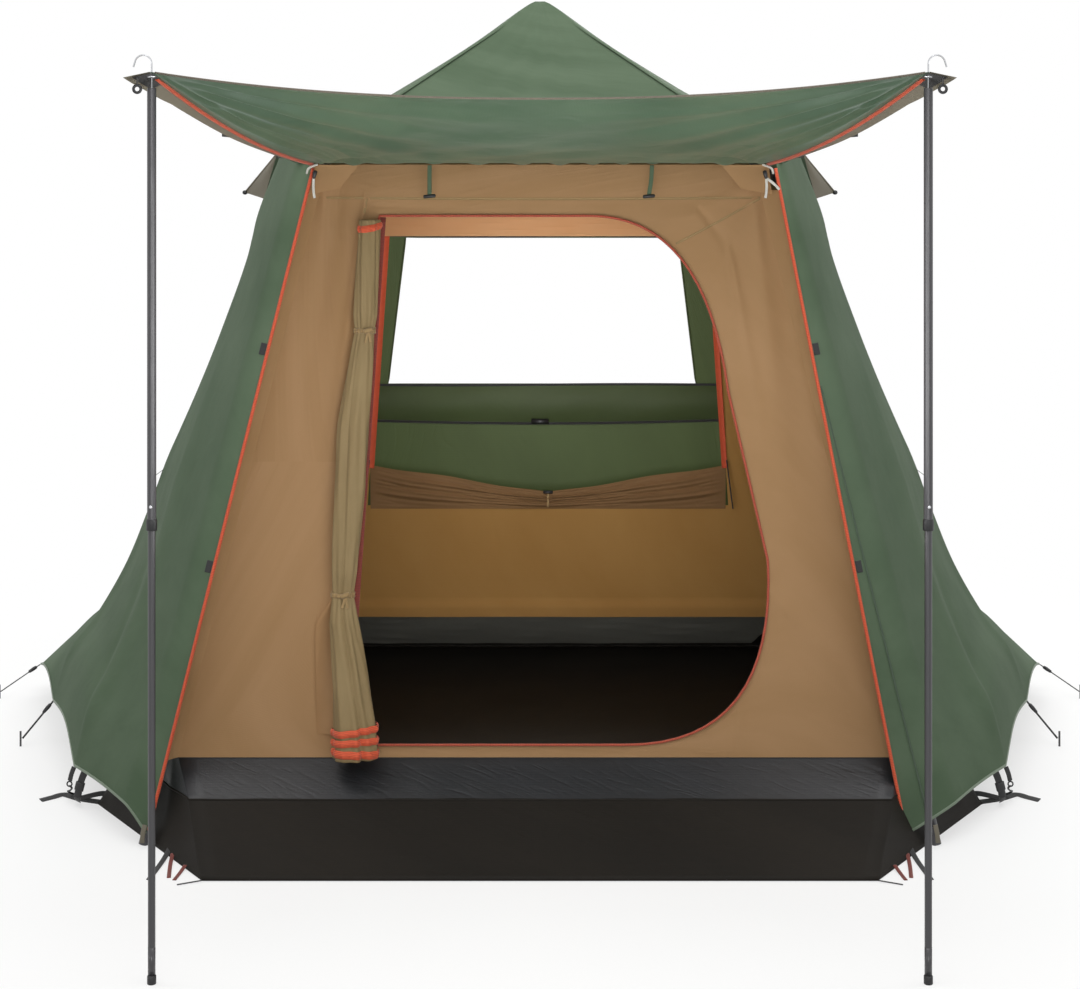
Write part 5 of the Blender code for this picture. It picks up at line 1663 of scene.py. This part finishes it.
@dataclass
class VentHood:
    """The stiffened hood that hangs out over a side vent, with a gusset at each end.

    Attributes:
        hand: which side.
        width: its width at its root.
        out: how far it stands out.
        drop: how far its lower edge is below its root.
        root_gap: clearance between its root and the eave's line.
    """

    hand: Hand
    width: float = 0.44
    out: float = 0.109
    drop: float = 0.112
    root_gap: float = 0.0048

    def place(self, u: Array, v: Array) -> Array:
        """Points of the hood: a flap that tapers and bends over as it leaves its root."""
        side = self.hand.value
        taper = blend(self.width, self.width * 0.55, v)
        x = side * (LINES.side_eave_x + self.root_gap + self.out * v)
        z = LINES.side_eave_z - 0.001 - self.drop * v
        return pack(x, taper * (u - 0.5), z)

    def swing(self, piece: Piece) -> None:
        """Bake a piece's transform into its mesh."""
        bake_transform(piece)

    def build(self) -> None:
        """Make the hood, its wire, its two gussets and the wire's end caps."""
        side = self.hand.value
        word = self.hand.word
        u, v = mesh_grid(24, 40)
        points = self.place(u, v)
        hood = surface(f"vent_hood_cloth_{word}", points, FLY_TAFFETA, outward=(side, 0, 1))
        self.swing(hood)
        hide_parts(f"vent_hood_{word}")
        rim = np.concatenate([points[:, 0], points[-1, 1:-1], points[::-1, -1]])
        edge = tube(f"vent_hood_wire_{word}", rim, 0.0028, FACING, up=(side * 0.76, 0, 0.72), sides=8)
        self.swing(edge)
        wall = FlySide(self.hand)
        for end in End:
            name = f"{word}_{end.word}"
            corner = points[-1, 0 if end is End.FRONT else -1]
            settle(lathe(f"vent_hood_cap_{name}", corner + (0, -0.010, 0), barrel(0.005, 0.0065, 0.020),
                         NYLON, axis=(0, 1, 0), sides=14), f"hood_{word}", "plastic_black")
            root = points[0, 0 if end is End.FRONT else -1]
            share, low = 0.5 + end.value * 0.115, 0.080
            foot = wall.point(np.array([share]), np.array([low]))[0] + (side * 0.003, 0, 0)
            r, t = mesh_grid(14, 14)
            outer = blend(root, corner, t[..., None])
            inner = blend(root, foot, t[..., None])
            cloth = blend(outer, inner, r[..., None])
            cloth[..., 1] += end.value * 0.008 * np.sin(np.pi * r) * np.sin(np.pi * t)
            gusset = surface(f"vent_gusset_{name}", cloth, FACING, merge=True)
            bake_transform(gusset)


# Canopy


@dataclass
class Canopy:
    """The fly's front panel, held out as a canopy on two poles.

    Attributes:
        front_y: depth of its front edge.
        front_z: height of its front corners.
        front_half: half width between its poles.
        wing: width of its side flaps at the front.
        sag: drop of the front edge's middle.
        belly: further drop midway back, in the middle.
        curve: how far the front edge's middle is drawn back.
        back_half: half width at the eave.
        side_sag: drop of its side edges midway back.
    """

    front_y: float = -1.80
    front_z: float = 1.883
    front_half: float = 0.803
    wing: float = 0.052
    sag: float = 0.052
    belly: float = 0.010
    curve: float = 0.050
    back_half: float = 0.590
    side_sag: float = 0.027

    def point(self, u: Array, v: Array) -> Array:
        """Points of the canopy between its two side pipings.

        The panel runs from the eave to the front edge and sags by a parabola across and along
        it. Its front edge rises steeply near its corners.

        Args:
            u: share of the way from the left piping to the right one.
            v: share of the way from the eave to the front edge.

        Returns:
            Points of the panel.
        """
        sideways = 2 * u - 1
        half = blend(self.back_half, self.front_half, v)
        free = 1 - np.abs(sideways) ** 2.3
        y = blend(-LINES.eave_y - 0.0022, self.front_y, v) + self.curve * free * v
        z = blend(LINES.eave_z + 0.0004, self.front_z, v)
        z = z - self.sag * free * v - (self.side_sag + self.belly * free) * 4 * v * (1 - v)
        return pack(half * sideways, y, z)

    def folds(self, u: Array, v: Array) -> Array:
        """Pulls that fan out from the four corners, with slack ripples at the eave."""
        x, y = (u - 0.5) * 1.6, v
        fans = []
        for sign in (-1, 1):
            front = (sign * 0.80, 1.0)
            fans += [Crease(front, (sign * (0.04 + 0.05 * k), 0.95 - 0.14 * k), 0.020 + 0.003 * k,
                            0.013 * (-1) ** k) for k in range(6)]
            fans += [Crease((sign * x1, v1), (sign * x2, v2), width, depth)
                     for x1, v1, x2, v2, width, depth in (
                         (0.795, 0.99, 0.70, 0.05, 0.007, 0.006),
                         (0.785, 0.95, 0.62, 0.10, 0.006, 0.005),
                         (0.79, 0.98, 0.66, 0.05, 0.020, -0.016),
                         (0.77, 0.95, 0.58, 0.08, 0.012, 0.010),
                         (0.74, 0.80, 0.44, 0.12, 0.016, -0.010))]
            fans += [Crease((sign * 0.78, 0.02), (sign * (0.1 + 0.1 * k), 0.16 + 0.13 * k), 0.028,
                            0.010 * (-1) ** k) for k in range(4)]
        free = (1 - (2 * u - 1) ** 2) * np.sin(np.pi * np.clip(v, 0, 1))
        scallops = 0.006 * np.sin(2 * np.pi * (u * 13 + 0.3 * np.sin(9 * u)))
        scallops *= bell(v - 0.05, 0.07) * np.clip(v * 30, 0, 1)
        return creased(x, y, fans) + free * ripples(x, y, 61, 0.30, 0.004) + scallops

    def build(self) -> None:
        """Make the sheet, its piping, its side flaps and its corner fittings."""
        u, v = mesh_grid(120, 300)
        points = self.point(u, v)
        edge = np.minimum(1, np.minimum(np.minimum(v, 1 - v), np.minimum(u, 1 - u) * 1.6) * 14)
        points[..., 2] += FACE + self.folds(u, v) * edge
        sheet = surface("canopy_cloth", points, CANOPY_TAFFETA, outward=(0, 0, 1))
        settle(sheet, "canopy", "fly_green", "canopy")
        lip = points[-1][2:-2] + (0, -0.001, -0.0005)
        settle(
            tube("canopy_front_piping", lip, 0.0024, FRONT_PIPING_PAINTED_SHADE, sides=10), "canopy", "piping_orange")
        for hand in Hand:
            self.flap(hand)
            self.corner(hand)

    def flap_point(self, hand: Hand, v: Array, w: Array) -> Array:
        """Points of a side flap, which hangs along its length and is pulled flat at its front.

        Args:
            hand: which side.
            v: share of the way from the eave to the front edge.
            w: share of the way across it, below 0 on the canopy itself.

        Returns:
            The points.
        """
        root = self.point(0.5 + hand.value * 0.5 + 0 * v, v)
        width = np.interp(
            v, (0, 0.25, 0.60, 0.85, 0.94, 1), (0.004, 0.010, 0.019, 0.026, 0.040, self.wing + 0.004))
        down = np.radians(np.interp(v, (0, 0.8, 0.92, 1), (80, 65, 30, 12)))
        out = hand.value * width * w * np.where(w > 0, np.cos(down), 1.0)
        fall = width * np.maximum(w, 0) * np.sin(down)
        return root + pack(out, 0 * v, 0.0012 - fall)

    def flap(self, hand: Hand) -> None:
        """Make one side flap with its piping and its two tabs."""
        w, v = np.meshgrid(np.linspace(0, 1, 11), np.linspace(0, 1, 91))
        points = self.flap_point(hand, v, w)
        points[..., 0] += hand.value * 0.003 * np.sin(14 * v) * w * (1 - v)
        cloth = surface(f"canopy_flap_{hand.word}", points, FACING, outward=(hand.value, 0, 0.3))
        settle(cloth, "canopy", "fly_green")
        line = points[:-3, 0] + (-hand.value * 0.001, 0, -0.003)
        settle(tube(f"canopy_side_piping_{hand.word}", line, 0.0046, ORANGE_PIPING, sides=10), "canopy",
               "piping_orange")
        for index, row in enumerate((20, 50)):
            low = points[row, -1] + (hand.value * 0.003, 0, 0.002)
            path = low + np.linspace(-1, 0.3, 8)[:, None] * np.array([0, 0, -0.011])
            along = points[row + 5, -1] - points[row - 5, -1]
            settle(ribbon(f"canopy_tab_{hand.word}_{index + 1}", path, along, 0.050,
                         BLACK_WEBBING, thickness=0.003), "canopy", "plastic_black")

    def corner(self, hand: Hand) -> None:
        """Reinforce a front corner with a patch, an eyelet for the pole's spike and a ring."""
        side = hand.value
        w, v = np.meshgrid(np.linspace(-0.15, 0.66, 24), np.linspace(0.935, 1.0, 12))
        patch = self.flap_point(hand, v, w) - (0, 0, 0.0035)
        settle(surface(f"canopy_patch_{hand.word}", patch, BLACK_WEBBING, outward=(0, 0, -1)), "canopy",
               "plastic_black")
        x, y, z = side * self.front_half, self.front_y + 0.022, self.front_z - 0.004
        profile = [
            (0.0035, -0.0055), (0.0105, -0.005), (0.0115, -0.003), (0.0105, -0.001), (0.0035, -0.0005)]
        settle(
            lathe(f"canopy_eyelet_{hand.word}", (x, y, z), profile, NICKEL_WIRE), "canopy", "bright_wire")
        centre = np.array([side * 0.829, -1.797, 1.849])
        settle(tube(f"canopy_ring_{hand.word}", hoop(centre, 0.0075, 33), 0.0030, NYLON,
                    up=(0, 1, 0), sides=8, ring=True), "canopy", "plastic_black")
        path = straight(centre + (0, 0, 0.0075), (0, 0, 0.017), 6)
        settle(ribbon(f"canopy_ring_loop_{hand.word}", path, (0, 1, 0), 0.012, BLACK_WEBBING), "canopy",
               "plastic_black")


@dataclass
class EaveLoop:
    """A webbing loop with a small toggle that hangs from the eave behind the canopy."""

    hand: Hand

    def build(self) -> None:
        """Make the loop and its toggle."""
        x = self.hand.value * 0.285
        lean = 0.004 if self.hand is Hand.RIGHT else 0.0
        path = soften(
            [(x + lean, -0.827, 1.716), (x + lean / 2, -0.830, 1.68), (x - lean, -0.829, 1.638)], 24)
        hang(ribbon(f"eave_loop_{self.hand.word}", path, (1, 0, 0), 0.011, FLY_TAFFETA, thickness=0.002),
             "fly_green", f"eave_toggle_{self.hand.word}")
        hang(lathe(f"eave_loop_toggle_{self.hand.word}", (x - lean - 0.016, -0.830, 1.634),
                       barrel(0.002, 0.0048, 0.032), NYLON, axis=(1, 0, 0.1), sides=12), "plastic_black")


@dataclass
class CanopyPole:
    """Details of one canopy pole, whose tubes are the CAD's.

    Attributes:
        hand: which side.
        half: distance of its middle from the tent's.
        depth: depth of its middle.
        ferrule_z: height at which the upper tube leaves the lower one.
    """

    hand: Hand
    half: float = 0.803
    depth: float = -1.778
    ferrule_z: float = 0.937

    def build(self) -> None:
        """Add the ferrule's collar, the height button and the foot with the tube's lower end."""
        word = self.hand.word
        x, y = self.hand.value * self.half, self.depth
        settle(lathe(f"pole_collar_{word}", (x, y, self.ferrule_z),
                       [(0.0098, 0.0), (0.0112, 0.0015), (0.0112, 0.020), (0.0102, 0.024),
                        (0.0097, 0.0245)], NYLON), f"pole_top_{word}", "plastic_black")
        settle(lathe(f"pole_button_{word}", (x, y - 0.0088, self.ferrule_z + 0.050),
                       [(0.0034, 0.0), (0.0034, 0.0018), (0.0024, 0.0028)], NICKEL_WIRE,
                       axis=(0, -1, 0), sides=16), f"pole_top_{word}", "bright_wire")
        settle(lathe(f"pole_foot_{word}", (x, y, 0.0),
                     [(0.0085, 0.0), (0.0094, 0.001), (0.0094, 0.016), (0.0084, 0.018)], NYLON),
               f"pole_{word}", "plastic_black", f"canopy_pole_foot_{word}")
        settle(lathe(f"pole_end_{word}", (x, y, 0.016), [(0.0078, 0.0), (0.0078, 0.060)], POWDER_COAT),
               f"pole_{word}", "frame_steel")


# Ground fastenings


@dataclass
class GroundFastenings:
    """Straps, a buckle, a hook, ground tapes and guy cords with their runners, of one side."""

    hand: Hand

    def web(self, name: str, spots: Sequence[Spot], width: float, finish: Finish, slot: str,
            *nodes: str, across: Spot) -> None:
        """Make a webbing strap through some points, given for the right side.

        Args:
            name: its name, to which the side is added.
            spots: the points.
            width: its width.
            finish: its webbing.
            slot: the record's slot.
            nodes: nodes that it stands for, without their side.
            across: direction of its width, given for the right side.
        """
        turn = np.array([self.hand.value, 1, 1])
        path = soften(np.array(spots) * turn, 40)
        strap = ribbon(f"{name}_{self.hand.word}", path, np.array(across) * turn, width, finish,
                       thickness=0.002)
        settle(strap, TENT, slot, *(f"{node}_{self.hand.word}" for node in nodes))

    def strap(self) -> None:
        """Make the ground webbing, the strap with its hook and the one with its buckle."""
        word = self.hand.word
        for name, width, across, nodes, spots in (
                ("ground_loop_webbing", 0.022, (0.35, 1, 0.2), ["ground_loop_strap"],
                 [(1.172, -0.618, 0.003), (1.20, -0.603, 0.002), (1.245, -0.585, 0.003),
                  (1.298, -0.550, 0.004), (1.325, -0.570, 0.003), (1.352, -0.592, 0.0015)]),
                ("ground_loop_upper", 0.014, (0.2, 0.6, 0.8), [],
                 [(1.158, -0.610, 0.024), (1.19, -0.600, 0.022), (1.245, -0.587, 0.006)]),
                ("hook_strap", 0.014, (0.8, 0.3, 0.3), ["corner_buckle"],
                 [(1.2515, -0.632, 0.104), (1.258, -0.634, 0.086), (1.262, -0.636, 0.068)]),
                ("buckle_strap", 0.020, (0.9, 0.3, 0.3), [],
                 [(1.2138, -0.672, 0.101), (1.221, -0.668, 0.085), (1.228, -0.662, 0.066)]),
                ("buckle_tail", 0.018, (0.9, 0.3, 0.3), [],
                 [(1.236, -0.655, 0.036), (1.241, -0.640, 0.018), (1.246, -0.612, 0.005)])):
            self.web(name, spots, width, BLACK_WEBBING, "plastic_black", *nodes, across=across)
        turn = np.array([self.hand.value, 1, 1])
        for part, low, high, radius in (
                ("socket", (1.2325, -0.659, 0.050), (1.2262, -0.663, 0.072), 0.0125),
                ("plug", (1.2365, -0.656, 0.031), (1.2325, -0.659, 0.050), 0.0100)):
            path = blend(np.array(low) * turn, np.array(high) * turn, np.linspace(0, 1, 9)[:, None])
            settle(tube(f"side_buckle_{part}_{word}", path, radius, NYLON, up=(0, 1, 0), sides=14,
                        flat=0.45), TENT, "plastic_black")
        ring = hoop(np.array([1.2627, -0.637, 0.060]) * turn, 0.0065, 25)
        settle(tube(f"hook_ring_{word}", ring, 0.0020, NYLON, up=(0, 1, 0), sides=8, ring=True), TENT,
               "plastic_black")
        hook = soften(
            np.array([(1.2627, -0.637, 0.055), (1.258, -0.63, 0.047), (1.268, -0.61, 0.034),
                      (1.280, -0.585, 0.024), (1.274, -0.560, 0.010), (1.262, -0.565, 0.012)]) * turn, 40)
        settle(tube(f"ground_hook_{word}", hook, 0.0026, NYLON, sides=8), TENT, "plastic_black")

    def front_tabs(self) -> None:
        """Make the tapes and the cord that lie on the ground at the front corner."""
        for name, width, finish, slot, across, spots in (
                ("corner_ground_webbing", 0.014, BLACK_WEBBING, "plastic_black", (1, 0, 0),
                 [(0.920, -0.998, 0.014), (0.926, -1.06, 0.003), (0.934, -1.185, 0.0012)]),
                ("corner_tab_outer", 0.010, SHADED_PIPING, "piping_orange", (1, 0, 0),
                 [(0.908, -1.03, 0.010), (0.902, -1.09, 0.002), (0.889, -1.172, 0.0012)]),
                ("corner_tab_inner", 0.010, SHADED_PIPING, "piping_orange", (1, 0, 0),
                 [(0.862, -1.106, 0.008), (0.868, -1.14, 0.002), (0.873, -1.188, 0.0012)]),
                ("corner_cord", 0.006, BLACK_CORD, "cord_black", (0, 1, 0),
                 [(0.806, -1.1955, 0.003), (0.83, -1.205, 0.002), (0.860, -1.219, 0.0015)]),
                ("corner_zip_tab", 0.012, FACING, "fly_green", (1, 0, 0),
                 [(0.990, -0.969, 0.060), (0.994, -0.972, 0.038), (0.996, -0.973, 0.016)])):
            self.web(name, spots, width, finish, slot, across=across)

    def guy(self, word: str, tie: Spot, clear: float, peg: tuple[float, float], radius: float) -> None:
        """Make one guy cord from the hem to its peg, with its runner.

        Args:
            word: which guy.
            tie: the hem's tie-out.
            clear: how far outside it the cord starts.
            peg: the peg's place on the ground.
            radius: the cord's radius.
        """
        side = self.hand.value
        start = np.array([side * (tie[0] + clear), tie[1], tie[2] + radius])
        end = np.array([side * peg[0], peg[1], 0.0225])
        way = (end - start) / np.linalg.norm(end - start)
        flat = way[:2] / np.linalg.norm(way[:2])
        end[:2] -= flat * (0.003 + radius * abs(way[2]) + 0.0006)
        name = f"guy_{word}_{self.hand.word}"
        line = bpy.data.curves.new(name, "CURVE")
        line.dimensions = "3D"
        line.bevel_depth = radius
        line.bevel_resolution = 3
        line.use_fill_caps = True
        spline = line.splines.new("POLY")
        points = blend(start, end, np.linspace(0, 1, 16)[:, None])
        spline.points.add(len(points) - 1)
        spline.points.foreach_set("co", np.column_stack([points, np.ones(16)]).ravel())
        line.materials.append(WARDROBE.get(BLACK_CORD))
        cord = bpy.data.objects.new(name, line)
        bpy.context.scene.collection.objects.link(cord)
        settle(cord, TENT, "cord_black", f"guy_cord_{word}_{self.hand.word}")
        LOG.info("%s ends on its peg", name)
        settle(lathe(f"guy_runner_{word}_{self.hand.word}", start + way * 0.012,
                       [(radius, 0), (0.0052, 0.003), (0.0060, 0.014), (0.0048, 0.030),
                        (radius, 0.034)], NYLON, axis=way, sides=14), TENT, "plastic_black")

    def build(self) -> None:
        """Make all of them."""
        self.strap()
        self.front_tabs()
        self.guy("side", (1.46, -0.03, 0.12), 0.0044, (1.55, -0.08), 0.0028)
        self.guy("rear", (1.662, 0.56, 0.085), 0.0027, (1.77, 0.46), 0.0018)


NODE_FINISHES: tuple[tuple[str, Finish], ...] = (
    ("canopy_pole_lower", POWDER_COAT), ("canopy_pole_upper", POWDER_COAT),
    ("canopy_pole_foot", NYLON), ("lantern_hook", NICKEL_WIRE), ("ridge_pole", POWDER_COAT),
    ("leg_clip", NYLON), ("leg_", POWDER_COAT), ("elbow", NYLON), ("hub", NYLON),
    ("guy_peg", POWDER_COAT), ("eave_toggle", NYLON))


def dress_nodes(nodes: dict[str, Piece]) -> None:
    """Give each CAD node that stays its finish.

    Args:
        nodes: the frame's nodes by name.
    """
    for name, node in nodes.items():
        found = next((f for start, f in NODE_FINISHES if name.startswith(start)), None)
        if found is None or node.hide_render:
            continue
        node.data.materials.clear()
        node.data.materials.append(WARDROBE.get(found))
        LOG.info("%s is %s", name, found.name)


# Studio


@dataclass
class Studio:
    """The pale floor, the soft light and the camera at the photograph's place."""

    camera_place: Spot = (0.0, -5.61, 1.60)
    lens: float = 61.77
    shift_y: float = -0.2634

    def floor(self) -> None:
        """Make a wide pale floor."""
        made = bpy.data.materials.new("studio floor, matt white paint")
        tree = blank_tree(made)
        place = add_node(tree, "TexCoord").outputs["Object"]
        far = add_node(tree, "VectorMath", {0: place}, operation="LENGTH")
        fade = add_node(
            tree, "MapRange", {"Value": far.outputs["Value"], 1: 1.6, 2: 3.2, 3: 0.62, 4: 1.0},
            interpolation_type="SMOOTHSTEP")
        seen = seen_share(tree)
        share = add_node(tree, "Math", {0: fade.outputs[0], 1: seen}, operation="MULTIPLY")
        shade = add_node(
            tree, "Mix", {0: seen, 6: linear("#8c8c8a"), 7: linear("#f6f6f5")}, data_type="RGBA")
        paint = add_node(tree, "BsdfDiffuse", {"Color": shade.outputs[2]})
        glow = add_node(tree, "Emission", {"Color": (1, 1, 1, 1)})
        mixed = add_node(
            tree, "MixShader", {0: share.outputs[0], 1: paint.outputs[0], 2: glow.outputs[0]})
        add_node(tree, "OutputMaterial", {"Surface": mixed.outputs[0]})
        data = bpy.data.meshes.new("studio_floor")
        half = 40.0
        data.from_pydata(
            [(-half, -half, 0), (half, -half, 0), (half, half, 0), (-half, half, 0)], [], [(0, 1, 2, 3)])
        data.materials.append(made)
        plane = bpy.data.objects.new("studio_floor", data)
        plane.location.z = -0.0005
        bpy.context.scene.collection.objects.link(plane)

    def lights(self) -> None:
        """Make an even white world, soft lamps round the tent and lantern light inside."""
        world = bpy.data.worlds.new("studio_world")
        tree = blank_tree(world)
        around = add_node(tree, "Background", {"Color": (1, 1, 1, 1), "Strength": 0.55})
        seen = add_node(tree, "Background", {"Color": (1, 1, 1, 1), "Strength": 1.0})
        mixed = add_node(
            tree, "MixShader", {0: seen_share(tree), 1: around.outputs[0], 2: seen.outputs[0]})
        add_node(tree, "OutputWorld", {"Surface": mixed.outputs[0]})
        bpy.context.scene.world = world
        for name, place, target, size, power in (
                ("top", (0.0, -2.6, 5.6), (0.0, -0.6, 1.8), 4.0, 140.0),
                ("front", (0.0, -8.5, 0.9), (0.0, 0.0, 1.6), 3.0, 110.0),
                ("left", (-3.4, -1.2, 5.5), (-1.3, 0.1, 0.4), 2.5, 62.0),
                ("right", (3.4, -1.2, 5.5), (1.3, 0.1, 0.4), 2.5, 62.0),
                ("low left", (-5.8, -4.2, 1.1), (-1.2, 0.3, 0.3), 2.0, 26.0),
                ("low right", (5.8, -4.2, 1.1), (1.2, 0.3, 0.3), 2.0, 26.0),
                ("porch", (0.0, -2.0, 1.15), (0.0, -0.85, 1.78), 1.2, 13.0),
                ("inside", (0.0, 0.05, 1.22), (0.0, 0.80, 1.42), 0.5, 4.5),
                ("low", (0.0, -0.50, 0.35), (0.0, 1.05, 0.10), 0.5, 4.0),
                ("back", (0.5, 5.5, 4.5), (0.0, 0.0, 1.0), 4.0, 160.0)):
            lamp = bpy.data.lights.new(name, "AREA")
            lamp.shape = "DISK"
            lamp.size = size
            lamp.energy = power
            made = bpy.data.objects.new(name, lamp)
            made.location = place
            made.visible_camera = False
            aim = np.array(target) - np.array(place)
            made.rotation_mode = "QUATERNION"
            made.rotation_quaternion = Vector(aim).to_track_quat("-Z", "Y")
            bpy.context.scene.collection.objects.link(made)

    def camera(self) -> None:
        """Make the camera, level, with the horizon high in its frame."""
        data = bpy.data.cameras.new("photo_camera")
        data.sensor_fit = "HORIZONTAL"
        data.sensor_width = 36.0
        data.lens = self.lens
        data.shift_y = self.shift_y
        data.clip_end = 200.0
        made = bpy.data.objects.new("photo_camera", data)
        made.location = self.camera_place
        made.rotation_euler = (math.pi / 2, 0, 0)
        bpy.context.scene.collection.objects.link(made)
        bpy.context.scene.camera = made

    def build(self) -> None:
        """Make all of it, with plain view settings."""
        bpy.context.scene.view_settings.view_transform = "Standard"
        self.floor()
        self.lights()
        self.camera()


def main() -> None:
    """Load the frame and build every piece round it."""
    logging.basicConfig(level=logging.INFO, format="%(message)s")
    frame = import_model()
    Studio().build()
    fly_roof = RoofCloth("fly_roof_cloth", "fly_roof", FLY_TAFFETA, "fly_green")
    fly_roof.build()
    fly_roof.ridge_tapes()
    RoofCloth("inner_roof_cloth", "inner_roof", INNER_POLYESTER, "inner_tan",
              inset=LINES.pole_room, drop=LINES.roof_room, peak_drop=LINES.peak_room).build()
    FlyRear().build()
    DoorWall().build()
    InnerRear().build()
    TubFloor().build()
    Canopy().build()
    for hand in Hand:
        FlySide(hand).build()
        InnerSide(hand).build()
        ZipLine(hand).build()
        VentHood(hand).build()
        CanopyPole(hand).build()
        EaveLoop(hand).build()
        GroundFastenings(hand).build()
    dress_nodes(frame["nodes"])
    bpy.context.view_layer.update()


if __name__ == "__main__":
    main()
